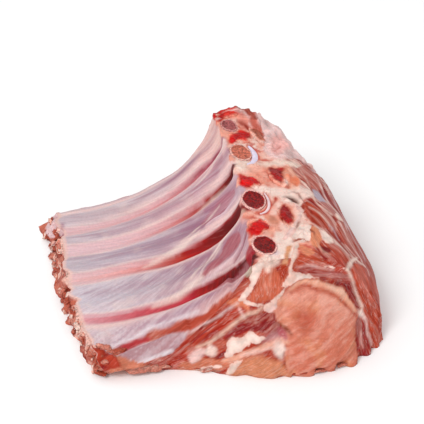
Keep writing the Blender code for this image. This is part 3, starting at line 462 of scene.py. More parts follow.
# Lines: side, colour, half widths, lift, softness (0 is crisp), points.
STROKES = (
    # buttery and pearly edges on the membrane; the pearly ones are partly painted sheen
    (TOP, BUTTER, (0.08, 0.22, 0.26, 0.12), 0.05, 0.7, (
        (494, 579), (419, 625), (356, 653), (300, 660))),
    (TOP, BUTTER, (0.10, 0.22, 0.20, 0.10), 0.05, 0.7, (
        (487, 766), (440, 800), (397, 790), (333, 792))),
    (TOP, BUTTER, (0.10, 0.25, 0.22, 0.10), 0.04, 0.8, (
        (470, 300), (420, 315), (350, 285), (290, 252))),
    (TOP, BUTTER, (0.05, 0.20, 0.26, 0.10), 0.04, 0.7, (
        (400, 530), (352, 520), (315, 505), (270, 500))),
    (TOP, (0.76, 0.54, 0.58), (0.20, 0.34, 0.30, 0.10), 0.12, 0.8, (
        (474, 433), (442, 445), (410, 445), (383, 461), (353, 469))),
    (TOP, (0.78, 0.58, 0.60), (0.10, 0.17, 0.17, 0.15, 0.08), 0.08, 0.85, (
        (465, 160), (432, 158), (389, 164), (348, 174), (315, 190))),
    (TOP, BUTTER, (0.06, 0.12, 0.11, 0.06), 0.04, 0.8, (
        (317, 222), (338, 255), (365, 270), (394, 288))),
    (TOP, BUTTER, (0.12, 0.32, 0.36, 0.20), 0.03, 0.75, (
        (170, 262), (235, 236), (285, 222), (322, 205))),
    (TOP, BUTTER, (0.12, 0.34, 0.38, 0.20), 0.03, 0.75, (
        (165, 515), (238, 492), (289, 476), (326, 476))),
    # dark line sunk near the chine: painted shade where the groove ends by a head
    (TOP, (0.20, 0.03, 0.045), (0.12, 0.15, 0.05), -0.10, 0.85, ((496, 350), (455, 350), (400, 375))),
    (TOP, (0.58, 0.46, 0.38), (0.10, 0.40, 0.30), 0.05, 0.7, ((430, 345), (462, 325), (500, 305))),
    # dark line sunk near the chine: painted shade beside a head
    (TOP, (0.20, 0.03, 0.045), (0.10, 0.13, 0.05), -0.10, 0.8, ((496, 180), (468, 140), (425, 128))),
    (TOP, (0.30, 0.10, 0.17), (0.05, 0.16, 0.10), -0.05, 0.7, ((12, 905), (4, 880), (-10, 860))),
    # the next two lines are pearly: pale film with a painted sheen
    (TOP, PEARL_AND_SHEEN, (0.06, 0.16, 0.20, 0.14, 0.06), 0.04, 0.75, (
        (50, 122), (95, 138), (149, 150), (215, 122), (286, 72))),
    (RIM, PEARL_AND_SHEEN, (0.08, 0.22, 0.16, 0.06), 0.05, 0.85, (
        (-12.8, 2.2), (-11.6, 2.4), (-10.4, 2.6), (-9.4, 2.8))),
    (RIM, IVORY, (0.03, 0.05, 0.04), 0.03, 0.0, ((-11.2, 2.0), (-10.6, 1.8), (-10.2, 1.4))),
    # fat, slits and stalks on the facet
    (TOP, (0.92, 0.66, 0.62), (0.07, 0.13, 0.12, 0.12, 0.07), 0.06, 0.9, (
        (502, 936), (525, 968), (555, 980), (584, 972), (603, 948))),
    (TOP, (0.30, 0.05, 0.04), (0.06, 0.14, 0.16, 0.06), -0.08, 0.9, (
        (591, 925), (600, 878), (606, 826), (620, 798))),
    (TOP, BLUSH_FAT, (0.06, 0.11, 0.06), 0.02, 0.8, ((603, 925), (608, 866), (618, 824))),
    (TOP, (0.44, 0.08, 0.06), (0.05, 0.10, 0.05), -0.06, 0.6, ((553, 627), (567, 633), (580, 629))),
    (TOP, (0.40, 0.08, 0.06), (0.06, 0.14, 0.10), -0.08, 0.7, ((577, 567), (584, 529), (587, 483))),
    (TOP, (0.36, 0.09, 0.07), (0.05, 0.10, 0.05), -0.05, 0.7, ((626, 479), (617, 449), (608, 455))),
    (TOP, (0.30, 0.05, 0.04), (0.08, 0.18, 0.08), -0.08, 0.85, ((560, 400), (554, 347), (539, 309))),
    # the near-black slit in the fat: painted shade inside it
    (TOP, (0.10, 0.025, 0.018), (0.06, 0.30, 0.30, 0.10), -0.20, 1.0, (
        (601, 379), (613, 378), (622, 362), (630, 335))),
    (TOP, (0.50, 0.12, 0.09), (0.05, 0.12, 0.05), -0.04, 0.8, ((627, 727), (662, 758), (680, 780))),
    (TOP, BLUSH_FAT, (0.20, 0.32, 0.30, 0.28, 0.18), 0.12, 0.0, (
        (622, 325), (629, 273), (615, 206), (598, 150), (580, 104))),
    (TOP, WHITE_FAT, (0.10, 0.24, 0.12), 0.08, 0.0, ((628, 186), (645, 205), (664, 200))),
    (TOP, (0.16, 0.03, 0.02), (0.06, 0.16, 0.07), -0.12, 0.95, ((621, 212), (616, 190), (613, 168))),
    (TOP, (0.16, 0.03, 0.02), (0.06, 0.17, 0.07), -0.12, 0.95, ((645, 162), (652, 150), (660, 132))),
    (TOP, (0.20, 0.04, 0.03), (0.05, 0.14, 0.12, 0.06), -0.10, 0.95, (
        (602, 88), (612, 100), (622, 104), (634, 86))),
    (RIM, IVORY, (0.26, 0.30, 0.26, 0.30), 0.10, 0.0, (
        (3.8, 12.6), (3.4, 11.1), (3.0, 9.9), (2.9, 9.1))),
    (TOP, (0.30, 0.05, 0.04), (0.05, 0.15, 0.13, 0.05), -0.08, 0.85, (
        (567, 936), (593, 916), (607, 858), (613, 780))),
    # streaks down the outer back
    (TOP, (0.84, 0.56, 0.48), (0.06, 0.12, 0.06), 0.03, 0.7, ((700, 603), (705, 543), (705, 489))),
    (TOP, BLUSH_FAT, (0.08, 0.20, 0.12, 0.22), 0.04, 0.8, (
        (751, 615), (761, 519), (783, 431), (794, 293))),
    (TOP, BLUSH_FAT, (0.20, 0.10, 0.22, 0.08), 0.04, 0.8, (
        (763, 289), (796, 214), (831, 154), (854, 80))),
    (TOP, IVORY, (0.06, 0.14, 0.08, 0.12), 0.03, 0.8, ((626, 265), (657, 200), (705, 168), (751, 120))),
    # a slit between the back's muscles, painted dark as its shade
    (TOP, SLIT_SHADE, (0.05, 0.14, 0.12, 0.05), -0.08, 0.8, (
        (623, 419), (638, 393), (652, 323), (667, 269))),
    (TOP, IVORY, (0.07, 0.14, 0.12, 0.06), 0.03, 0.8, ((693, 407), (697, 351), (712, 321), (740, 312))),
    (TOP, IVORY, (0.06, 0.11, 0.12, 0.06), 0.03, 0.75, (
        (662, 309), (691, 279), (714, 246), (734, 216))),
    (TOP, IVORY, (0.06, 0.11, 0.10, 0.06), 0.03, 0.75, ((736, 150), (752, 120), (762, 100), (778, 70))),
    (TOP, SILVER, (0.06, 0.14, 0.06), 0.03, 0.8, ((722, 226), (742, 218), (756, 174))),
    (TOP, SILVER, (0.12, 0.36, 0.20, 0.42, 0.24, 0.36, 0.20), 0.05, 0.55, (
        (760, 700), (795, 715), (806, 633), (815, 527), (832, 441), (850, 330), (868, 220))),
    (TOP, IVORY, (0.06, 0.13, 0.17, 0.12), 0.05, 0.9, ((766, 160), (786, 122), (803, 96), (850, 124))),
    (TOP, IVORY, (0.06, 0.14, 0.12), 0.04, 0.9, ((803, 98), (785, 68), (778, 30))),
    (TOP, CREAM, (0.06, 0.12, 0.06), 0.03, 0.7, ((668, 86), (686, 50), (712, 34))),
    # front cut: fat between the muscles
    (RIM, WHITE_FAT, (0.14, 0.17, 0.16, 0.14), 0.05, 0.0, (
        (-1.8, 6.8), (-0.8, 6.75), (0.2, 6.7), (1.1, 7.0))),
    (RIM, (0.84, 0.46, 0.36), (0.04, 0.09, 0.04), 0.02, 0.6, ((1.0, 9.8), (0.7, 8.6), (0.7, 7.7))),
    (RIM, (0.84, 0.46, 0.36), (0.04, 0.07, 0.04), 0.02, 0.6, ((0.1, 9.1), (0.2, 8.3), (0.4, 7.7))),
    # a slit between the front cut's muscles, painted dark as its shade
    (RIM, SLIT_SHADE, (0.02, 0.06, 0.05, 0.02), -0.05, 0.7, (
        (-7.5, 4.1), (-6.4, 4.5), (-5.0, 4.9), (-3.6, 5.8))),
    (RIM, (0.86, 0.64, 0.62), (0.06, 0.11, 0.10, 0.11, 0.06), 0.05, 0.95, (
        (-7.8, 4.3), (-6.5, 4.75), (-5.0, 5.15), (-3.5, 6.05), (-2.6, 6.6))),
    (RIM, (0.88, 0.60, 0.48), (0.08, 0.14, 0.11, 0.11, 0.10, 0.07), 0.06, 0.95, (
        (-7.0, 2.6), (-5.6, 3.0), (-4.1, 4.0), (-2.7, 5.1), (-1.7, 5.8), (-0.3, 6.5))),
    (RIM, BLUSH_FAT, (0.06, 0.10, 0.05), 0.04, 0.7, ((-2.1, 5.5), (-2.3, 5.8), (-2.5, 6.2))),
    (RIM, BLUSH_FAT, (0.05, 0.10, 0.05), 0.03, 0.7, ((3.6, 9.5), (4.8, 9.6), (6.0, 9.3), (7.3, 8.9))),
    (RIM, (0.66, 0.30, 0.28), (0.05, 0.09, 0.05), 0.02, 0.5, ((5.7, 8.7), (6.9, 8.6), (8.0, 8.3))),
    (RIM, WHITE_FAT, (0.10, 0.16, 0.12, 0.14), 0.04, 0.0, (
        (6.3, 9.5), (6.9, 9.3), (7.8, 9.0), (8.7, 8.9))),
    (RIM, IVORY, (0.22, 0.24, 0.20, 0.14), 0.06, 0.0, ((3.2, 8.8), (2.6, 8.2), (2.0, 7.7), (1.4, 7.1))),
    (RIM, (0.24, 0.035, 0.03), (0.09, 0.17, 0.15, 0.16, 0.13, 0.08), -0.10, 0.9, (
        (6.0, 8.15), (7.0, 7.7), (8.4, 7.15), (9.3, 6.4), (9.8, 5.2), (9.9, 4.3))),
    (RIM, (0.44, 0.08, 0.05), (0.05, 0.10, 0.14, 0.15, 0.14, 0.08), -0.07, 0.9, (
        (2.8, 7.3), (4.1, 7.75), (5.3, 7.55), (6.8, 6.95), (8.1, 5.95), (8.8, 5.0))),
    (RIM, IVORY, (0.08, 0.18, 0.17), 0.05, 0.95, ((9.9, 10.6), (9.1, 9.7), (8.7, 8.8))),
    (RIM, IVORY, (0.17, 0.13, 0.12, 0.12, 0.16), 0.04, 0.95, (
        (8.7, 8.8), (9.3, 7.3), (9.8, 5.7), (10.2, 4.6), (10.0, 4.0))),
    (RIM, WHITE_FAT, (0.10, 0.22, 0.10), 0.06, 0.95, ((9.6, 4.4), (10.0, 4.1), (10.3, 3.6))),
    (RIM, BLUSH_FAT, (0.10, 0.10, 0.08, 0.06), 0.03, 0.8, (
        (10.1, 3.9), (10.5, 3.1), (10.6, 2.1), (10.9, 0.6))),
    (RIM, (0.84, 0.50, 0.46), (0.05, 0.10, 0.05), 0.03, 0.7, ((9.8, 2.6), (9.7, 1.9), (9.8, 1.1))),
    (RIM, (0.28, 0.05, 0.04), (0.03, 0.06, 0.03), -0.04, 0.8, ((10.2, 6.0), (10.9, 4.9), (11.3, 3.6))),
    (RIM, (0.26, 0.05, 0.04), (0.03, 0.07, 0.03), -0.05, 0.8, ((11.9, 5.0), (12.1, 3.2), (12.0, 1.2))),
    (RIM, BLUSH_FAT, (0.06, 0.11, 0.09, 0.05), 0.04, 0.7, (
        (-2.8, 2.1), (-1.4, 2.7), (0.0, 3.1), (0.9, 3.3))),
    (RIM, WHITE_FAT, (0.05, 0.20, 0.22, 0.10), 0.08, 0.0, (
        (-7.5, 0.0), (-6.7, 0.3), (-5.7, 0.6), (-4.7, 0.9))),
    (RIM, IVORY, (0.10, 0.30, 0.30, 0.12), 0.10, 0.0, (
        (-4.5, -0.2), (-3.9, 0.6), (-3.3, 1.2), (-2.7, 1.7))),
    # the shade under a curl of fat at the foot, painted dark
    (RIM, SLIT_SHADE, (0.06, 0.16, 0.06), -0.15, 0.0, ((-6.1, 0.0), (-5.5, 0.15), (-4.9, 0.3))),
    # the slit between the rib eye and the meat beside it: painted shade
    (RIM, (0.11, 0.025, 0.02), (0.07, 0.16, 0.07), -0.14, 0.95, (
        (1.4, 4.85), (1.8, 4.6), (2.25, 4.25))),
    (RIM, (0.50, 0.11, 0.08), (0.05, 0.14, 0.05), -0.08, 0.8, (
        (3.3, 5.6), (3.8, 5.55), (4.2, 5.1), (3.5, 4.9))),
    # rear cut: fat between the muscles
    (REAR, CREAM, (0.10, 0.30, 0.16, 0.26, 0.12, 0.08), 0.08, 0.85, (
        (1.2, 4.8), (1.7, 6.8), (3.9, 8.1), (6.0, 7.4), (8.4, 5.8), (8.9, 3.2))),
    (REAR, IVORY, (0.34, 0.16, 0.22, 0.10), 0.08, 0.9, (
        (2.2, 11.8), (1.0, 9.6), (0.6, 7.2), (1.2, 4.8))),
    (REAR, IVORY, (0.06, 0.20, 0.12, 0.16), 0.06, 0.85, (
        (-12.0, 1.4), (-7.0, 2.4), (-3.0, 4.4), (-0.4, 7.8))),
    (REAR, CREAM, (0.08, 0.20, 0.10, 0.14), 0.06, 0.8, (
        (-9.0, 0.5), (-4.0, 1.6), (0.0, 3.0), (1.6, 3.2))),
    (REAR, IVORY, (0.18, 0.10, 0.18, 0.08), 0.05, 0.85, (
        (7.2, 9.8), (8.8, 7.8), (10.0, 5.0), (10.4, 1.4))),
    (REAR, (0.80, 0.62, 0.64), (0.20, 0.30, 0.30, 0.30, 0.20), 0.04, 0.7, (
        (-17.0, 1.6), (-12.0, 2.0), (-7.0, 3.6), (-2.6, 7.0), (-0.2, 12.0))),
    # tip face
    (TIP, (0.26, 0.06, 0.12), (0.10, 0.18, 0.14), -0.08, 0.8, ((23.4, 2.0), (23.2, 1.4), (23.0, 0.5))),
    (TIP, IVORY, (0.05, 0.14, 0.05), 0.05, 0.0, ((12.0, 0.7), (13.4, 1.0), (15.0, 0.6))),
    (TIP, IVORY, (0.05, 0.16, 0.05), 0.05, 0.0, ((16.8, 0.5), (18.0, 1.0), (19.2, 0.9))),
)
EYE_OUTLINE = (
    (0.7, 6.9), (1.7, 7.4), (3.0, 7.7), (4.3, 7.7), (5.4, 7.4), (6.8, 6.9), (8.0, 5.9), (8.9, 4.8),
    (9.3, 3.7), (9.1, 2.2), (9.0, 0.6), (7.6, -0.4), (4.8, -0.6), (2.6, -0.4), (1.6, 0.8), (1.4, 2.4),
    (1.8, 3.7), (1.4, 4.7), (0.8, 5.6),
)
# Torn lumps at the front corner and along the foot of the front cut: middle, half sizes,
# turn and tone.
PILE = (
    ((-0.163, 0.020, 0.012), (0.007, 0.009, 0.005), 0.3, 0),
    ((-0.157, 0.030, 0.015), (0.009, 0.004, 0.004), -0.5, 1),
    ((-0.152, 0.014, 0.015), (0.010, 0.005, 0.004), 0.6, 0),
    ((-0.158, 0.006, 0.012), (0.009, 0.005, 0.005), 0.2, 1),
    ((-0.145, 0.022, 0.017), (0.007, 0.004, 0.003), -0.3, 0),
    ((-0.166, 0.010, 0.005), (0.006, 0.007, 0.003), 0.1, 0),
    ((-0.130, 0.004, 0.010), (0.014, 0.006, 0.005), 0.1, 1),
    ((-0.112, 0.004, 0.008), (0.012, 0.005, 0.004), -0.1, 1),
    ((-0.058, -0.007, 0.003), (0.008, 0.003, 0.003), 0.2, 3),
    ((-0.050, -0.009, 0.003), (0.006, 0.003, 0.002), -0.2, 3),
)


# ---- numbers along a line, and smooth noise ----
def smooth(x):
    x = np.clip(x, 0, 1)
    return x * x * (3 - 2 * x)


def along(k, values):
    """Value at k (0 to 1) of a smooth curve through equally spaced values."""
    v = np.asarray(values, float)
    last = len(v) - 1
    k = np.clip(np.asarray(k, float), 0, 1) * last
    i = np.minimum(k.astype(int), last - 1)
    f = k - i
    p1, p2 = v[i], v[i + 1]
    p0 = np.where(i == 0, 2 * p1 - p2, v[np.maximum(i - 1, 0)])
    p3 = np.where(i == last - 1, 2 * p2 - p1, v[np.minimum(i + 2, last)])
    cubic = (3 * p1 - p0 - 3 * p2 + p3) * f ** 3
    square = (2 * p0 - 5 * p1 + 4 * p2 - p3) * f * f
    return 0.5 * (2 * p1 + (p2 - p0) * f + square + cubic)


def along_rows(k, rows):
    """Points or colours at k of a smooth curve through a row of them."""
    return np.stack([along(k, column) for column in np.asarray(rows, float).T], -1)


def noise(a, b, size, seed):
    """Smooth noise from -1 to 1 over two coordinates, with bumps of the given size."""
    table = np.random.default_rng(seed).uniform(-1, 1, (64, 64))
    a, b = np.asarray(a) / size, np.asarray(b) / size
    i, j = np.floor(a).astype(int), np.floor(b).astype(int)
    f, g = smooth(a - i), smooth(b - j)
    low = table[i % 64, j % 64] * (1 - f) + table[(i + 1) % 64, j % 64] * f
    high = table[i % 64, (j + 1) % 64] * (1 - f) + table[(i + 1) % 64, (j + 1) % 64] * f
    return low * (1 - g) + high * g


def noise3(p, size, seed, octaves=1):
    """Smooth noise in space from about -1 to 1, each octave half the size and half as strong."""
    total = np.zeros(len(p))
    for octave in range(octaves):
        table = np.random.default_rng(seed + octave).uniform(-1, 1, (32, 32, 32))
        q = p / (size / 2 ** octave) + 7.3 * octave
        cell = np.floor(q).astype(int)
        f = smooth(q - cell)
        for corner in range(8):
            step = np.array([corner & 1, corner >> 1 & 1, corner >> 2 & 1])
            i, j, k = ((cell + step) % 32).T
            total += np.prod(np.where(step, f, 1 - f), axis=1) * table[i, j, k] / 2 ** octave
    return total


# ---- the bent box, as in the frame ----
def profile(s, t):
    """x and z of the top surface: inner side, sawn facet, back muscles."""
    tip_x, tip_z = along(t, TIP_X), along(t, TIP_Z)
    chine_x, chine_z = along(t, CHINE_X), along(t, CHINE_Z)
    sweep = np.radians(along(t, SWEEP_DEG))
    turn = sweep * np.clip(s / S_CHINE, 0, 1)
    inner_x = tip_x + (chine_x - tip_x) * np.sin(turn) / np.sin(sweep)
    inner_z = tip_z + (chine_z - tip_z) * (1 - np.cos(turn)) / (1 - np.cos(sweep))
    k = np.clip((s - S_CHINE) / (S_FACET - S_CHINE), 0, 1)
    edge_x = chine_x + along(t, FACET_WIDE)
    edge_z = chine_z - along(t, FACET_DROP)
    facet_x = chine_x + (edge_x - chine_x) * k
    facet_z = chine_z + (edge_z - chine_z) * k
    turn = np.clip((s - S_FACET) / (1 - S_FACET), 0, 1) * np.pi / 2
    power = 2 / BACK_FULLNESS
    back_x = edge_x + (along(t, BACK_X) - edge_x) * np.sin(turn) ** power
    back_z = EDGE_Z + (edge_z - EDGE_Z) * np.maximum(np.cos(turn), 0) ** power
    x = np.where(s < S_CHINE, inner_x, np.where(s < S_FACET, facet_x, back_x))
    z = np.where(s < S_CHINE, inner_z, np.where(s < S_FACET, facet_z, back_z))
    return x, z


def across_share(x):
    """How far across the rack x lies, from the tips' side (0) to the back's (1)."""
    return (x - WIDE_FROM) / (WIDE_TO - WIDE_FROM)


def plain(s, t, w=1.0):
    """A point of the bent box, without relief; on its top unless w says otherwise."""
    s, t, w = np.broadcast_arrays(np.asarray(s, float), np.asarray(t, float), np.asarray(w, float))
    top_x, top_z = profile(s, t)
    low_x = top_x - along(t, TIP_FLARE) * (1 - smooth(s / 0.25))
    x = low_x + (top_x - low_x) * w
    wide = across_share(x)
    front = along(wide, HEAD_Y) + (along(wide, FOOT_Y) - along(wide, HEAD_Y)) * smooth(1 - w)
    y = front + (along(wide, REAR_Y) - front) * t
    return np.stack([x, y, top_z * w], -1)


def row(s, u):
    """t of a grid row: rows run along the grooves, and spread evenly over the back."""
    apart = smooth((s - S_CHINE) / 0.3)
    shares = (0,) + GROOVE_ROWS[::-1] + (1,)
    t = np.zeros_like(s)
    groove_t = [along(s / S_CHINE, path) for path, _ in GROOVES][::-1]
    lines = [np.zeros_like(s)] + [g + (share - g) * apart for g, share in zip(groove_t, shares[1:])]
    lines.append(np.ones_like(s))
    for i in range(len(shares) - 1):
        k = (u - shares[i]) / (shares[i + 1] - shares[i])
        t = np.where(k >= 0, lines[i] + (lines[i + 1] - lines[i]) * np.minimum(k, 1), t)
    return t


def normal(s, t):
    """Outward direction of the top surface."""
    step = 0.004
    s = np.clip(s, step, 1)
    across = plain(np.clip(s + step, 0, 1), t) - plain(np.clip(s - step, 0, 1), t)
    length = plain(s, np.clip(t + step, 0, 1)) - plain(s, np.clip(t - step, 0, 1))
    n = np.cross(across, length)
    return n / np.linalg.norm(n, axis=-1, keepdims=True)


# ---- distances to lines and outlines drawn on a side, in centimetres ----
def curve(points, closed=False):
    """A smooth line through points, and how far along it each of its own points is."""
    points = np.asarray(points, float)
    k = np.linspace(0, 1, CURVE_STEPS * (len(points) - 1) + 1)
    if closed:
        points = np.concatenate([points[-2:], points, points[:3]])
        k = np.linspace(2, len(points) - 3, CURVE_STEPS * (len(points) - 5) + 1) / (len(points) - 1)
    return along_rows(k, points), k


def line_distance(spots, points, closed=False):
    """Distance from each spot to a smooth line, and how far along the line that is."""
    path, k = curve(points, closed)
    best = np.full(len(spots), 1e9)
    where = np.zeros(len(spots))
    for i in range(len(path) - 1):
        a, b = path[i], path[i + 1]
        step = b - a
        f = np.clip(((spots - a) @ step) / max(step @ step, 1e-12), 0, 1)
        d = np.linalg.norm(spots - a - f[:, None] * step, axis=1)
        closer = d < best
        best = np.where(closer, d, best)
        where = np.where(closer, k[i] + (k[i + 1] - k[i]) * f, where)
    return best, where


def depth_inside(spots, outline):
    """How deep each spot lies inside a smooth outline; negative outside."""
    path, _ = curve(outline, True)
    distance, _ = line_distance(spots, outline, True)
    inside = np.zeros(len(spots), bool)
    for (ax, ay), (bx, by) in zip(path[:-1], path[1:]):
        if ay != by:
            crosses = (spots[:, 1] > ay) != (spots[:, 1] > by)
            inside ^= crosses & (spots[:, 0] < ax + (bx - ax) * (spots[:, 1] - ay) / (by - ay))
    return np.where(inside, distance, -distance)


# ---- relief ----
def behind(s, y, path):
    """Metres behind the path of a rib or a groove."""
    return y - plain(s, along(s / S_CHINE, path))[..., 1]


def rear_lump(x, y):
    """Height of the lump at the rear end of the facet."""
    reach = np.hypot(x - REAR_LUMP[0], y - REAR_LUMP[1]) / REAR_LUMP_WIDE
    return REAR_LUMP_HIGH * smooth(1 - reach)


def rib_size(k, number):
    """Half width, half thickness and depth of the middle of a rib, as in the frame."""
    head = RIBS[number][2]
    narrow = 1 + (HEAD_NARROW[number] - 1) * smooth((k - 0.7) / 0.3)
    wide = along(k, RIB_HALF_WIDE) * RIB_NARROW[number] * narrow
    thick = along(k, RIB_HALF_THICK) * np.sqrt(narrow)
    if not head:
        thick = np.minimum(thick, RIB_HALF_THICK[2])
    sink = thick - along(k, RIB_PROUD)
    if head:
        sink = sink + (head - sink) * smooth((k - 0.72) / 0.28)
    return wide, thick, sink


def rib_cover(s, y):
    """Height that the membrane needs to cover the ribs."""
    k = s / S_CHINE
    high = np.full(np.shape(s), -1.0)
    for number, (path, (start, end), _) in enumerate(RIBS):
        wide, thick, sink = rib_size(k, number)
        wide = wide + MEMBRANE_THICK
        offset = behind(s, y, path)
        arch = np.sqrt(np.maximum(1 - (offset / wide) ** 2, 0))
        over = (np.abs(offset) < wide) & (s > start - 0.01) & (s < end + 0.01)
        high = np.where(over, np.maximum(high, thick * arch - sink + MEMBRANE_THICK), high)
    return high


def top_relief(s, t, p):
    """Height over the plain top: grooves, ribs, muscle lobes, lumps and knobs."""
    x, y = p[..., 0], p[..., 1]
    inner = 1 - smooth((s - S_CHINE + 0.05) / 0.05)
    high = np.zeros_like(s)
    for path, deep in GROOVES:
        depth = GROOVE_TIP_DEPTH + (deep - GROOVE_TIP_DEPTH) * smooth(s / S_CHINE)
        high -= inner * depth * np.exp(-(behind(s, y, path) / GROOVE_WIDE) ** 2)
    cover = np.where(s < S_CHINE, rib_cover(s, y), -1.0)
    blend = np.maximum(COVER_BLEND - np.abs(high - cover), 0)
    high = np.maximum(high, cover) + blend ** 2 / (4 * COVER_BLEND)
    back = smooth((s - S_FACET) / 0.08) * smooth((1 - s) / 0.1)
    high += LOBES * back * noise(s * 0.38, y, 0.032, 3)
    high += rear_lump(x, y) * smooth((s - S_CHINE) / 0.02)
    for lump_x, lump_y, lump_high, wide in SIDE_LUMPS:
        high += lump_high * smooth(1.2 - 1.2 * np.hypot(x - lump_x, y - lump_y) / wide)
    knobs = smooth((s - 0.62) / 0.04) * smooth((0.86 - s) / 0.06) * smooth((t - 0.62) / 0.06)
    high += KNOB_HIGH * knobs * noise3(p.reshape(-1, 3), KNOB_SIZE, 15, 2).reshape(s.shape)
    return high


def front_relief(x, z):
    """How far the front cut stands out: the rib eye's bulge and the ragged foot."""
    ring = np.hypot((x - RIB_EYE[0]) / RIB_EYE_HALF[0], (z - RIB_EYE[1]) / RIB_EYE_HALF[1])
    bulge = RIB_EYE_BULGE * (smooth((1.05 - ring) / 0.3) - 0.4 * np.exp(-((ring - 1.1) / 0.1) ** 2))
    edges = np.array(FOOT_STEPS)
    i = np.clip(np.searchsorted(edges, x) - 1, 0, len(edges) - 2)
    torn = FOOT_STEP_DEEP * (2 * smooth(1.3 * (x - edges[i]) / (edges[i + 1] - edges[i]) - 0.1) - 1)
    torn = np.where((x > edges[0]) & (x < edges[-1]), torn, 0) * smooth(1 - z / 0.014)
    return bulge + torn + RAGGED_FOOT * noise(x, z * 0.5, 0.012, 5) * smooth(1 - z / 0.03)


def tip_relief(y, z):
    """How far the tip face stands out; it leaves the two bare rib ends open."""
    ragged = RAGGED_TIP * noise(y, z * 1.5, 0.011, 9) + RAGGED_TIP_FINE * noise(y, z, 0.0045, 11)
    for number in BARE_ENDS:
        middle = plain(0.0, RIBS[number][0][0])[1]
        window = smooth((0.018 - np.abs(y - middle)) / 0.006) * smooth((z - 0.005) / 0.004)
        ragged = np.minimum(ragged, 0.004) * (1 - window) - 0.001 * window
    return ragged


# ---- the flesh's grid and its paint ----
class Flesh:
    """Grid points of the flesh, with their sides, and the paint laid on them."""

    def __init__(self):
        self.make_grid()
        self.s, self.u, self.w = (self.spots / np.array([GRID_S, GRID_T, GRID_W])).T
        self.s = np.interp(self.s, S_ROWS, S_AT)
        self.t = row(self.s, self.u)
        self.plain = plain(self.s, self.t, self.w)
        x, y, z = (self.plain / CM).T
        top = self.w == 1
        front = (self.u == 0) & ~top
        rear = (self.u == 1) & ~top
        tip = (self.s == 0) & ~top & ~front & ~rear
        foot = (self.s == 1) & ~top & ~front & ~rear
        across = np.stack([self.s * ACROSS, y], -1)
        cut, end = np.stack([x, z], -1), np.stack([y, z], -1)
        edge = plain(self.s, 0.0) / CM
        near = top & (self.s > RIM_FROM) & (y - edge[:, 1] < RIM_DEEP)
        folded = np.where(near[:, None], np.stack([edge[:, 0], edge[:, 2] + y - edge[:, 1]], -1), cut)
        charts = {TOP: (top, across), FRONT: (front, cut), REAR: (rear, cut)}
        charts |= {TIP: (tip, end), FOOT: (foot, end), RIM: (front | near, folded)}
        self.sides = {side: (mask, spots[mask]) for side, (mask, spots) in charts.items()}
        self.wobble = 0.09 * noise3(self.plain, 0.010, 40, 2) + 0.09 * noise3(self.plain, 0.004, 44)
        self.ragged = noise3(self.plain, 0.006, 46, 3)
        count = len(self.s)
        self.tone = np.tile(np.array(MEAT), (count, 1))
        self.over = np.tile(np.array(IVORY), (count, 1))
        self.cover, self.cracks, self.lift = np.zeros(count), np.zeros(count), np.zeros(count)
        self.fibre, self.marble, self.wet = np.full(count, 0.6), np.zeros(count), np.full(count, 0.4)
        self.grain = self.plain * GRAIN_PLAIN

    def make_grid(self):
        """Quads of the five sides, the ring round the underside, and each point's grid place."""
        b, c = GRID_T + 1, GRID_W + 1

        def code(i, j, k):
            return (np.asarray(i) * b + j) * c + k

        def sheet(rows, columns, place, flip):
            i, j = np.meshgrid(np.arange(rows), np.arange(columns), indexing="ij")
            corners = [place(i, j), place(i + 1, j), place(i + 1, j + 1), place(i, j + 1)]
            quads = np.stack(corners, -1).reshape(-1, 4)
            return quads[:, ::-1] if flip else quads

        quads = np.concatenate([
            sheet(GRID_S, GRID_T, lambda i, j: code(i, j, GRID_W), False),
            sheet(GRID_S, GRID_W, lambda i, k: code(i, 0, k), False),
            sheet(GRID_S, GRID_W, lambda i, k: code(i, GRID_T, k), True),
            sheet(GRID_T, GRID_W, lambda j, k: code(0, j, k), True),
            sheet(GRID_T, GRID_W, lambda j, k: code(GRID_S, j, k), False),
        ])
        ring = [code(i, 0, 0) for i in range(GRID_S)]
        ring += [code(GRID_S, j, 0) for j in range(GRID_T)]
        ring += [code(i, GRID_T, 0) for i in range(GRID_S, 0, -1)]
        ring += [code(0, j, 0) for j in range(GRID_T, 0, -1)]
        codes, index = np.unique(quads, return_inverse=True)
        self.quads = index.reshape(-1, 4)
        self.ring = np.searchsorted(codes, np.array(ring[::-1]))
        self.spots = np.stack([codes // (b * c), codes // c % b, codes % c], -1).astype(float)

    def points_on(self, side, points):
        """Points drawn on a side, in centimetres; on the top they come as thousandths of s and t."""
        points = np.asarray(points, float)
        if side != TOP:
            return points
        points = points / 1000
        y = plain(points[:, 0], points[:, 1])[:, 1] + np.minimum(points[:, 1], 0) * REAR_Y[0]
        return np.stack([points[:, 0] * ACROSS, y / CM], -1)

    def lay(self, mask, colour, share):
        """Lay a colour softly over the tone where the mask holds."""
        share = np.clip(share, 0, 1)[..., None]
        self.tone[mask] += (np.asarray(colour) - self.tone[mask]) * share

    def put(self, mask, depth, colour, edge):
        """Put a crisp colour over the tone; depth is how far inside it each spot is."""
        a = np.clip(0.5 + 0.5 * depth / edge, 0, 1)
        colours = mixed(np.asarray(colour), FAT_EDGE, 0.5 * (1 - smooth(depth / 0.35)))
        self.over[mask] += (colours - self.over[mask]) * smooth((a - 0.1) / 0.3)[:, None]
        self.cover[mask] = np.maximum(self.cover[mask], a)

    def move(self, name, mask, value, share):
        """Move a layer toward a value."""
        layer = getattr(self, name)
        layer[mask] += (value - layer[mask]) * share

    def stroke(self, side, points, half, colour, lift, soft):
        """A line of one colour, crisp, or softly mixed in by the share `soft`."""
        mask, spots = self.sides[side]
        edge = SOFT_EDGE if soft else CRISP_EDGE
        d, k = line_distance(spots, self.points_on(side, points))
        depth = along(k, half) * STROKE_WIDTH - d + self.wobble[mask] * (0.6 if soft else 1)
        inside = smooth(0.5 + 0.5 * depth / edge)
        if soft:
            self.lay(mask, colour, soft * inside)
            self.cover[mask] *= 1 - soft * inside
        else:
            self.put(mask, depth, colour, edge)
        self.lift[mask] += lift * inside

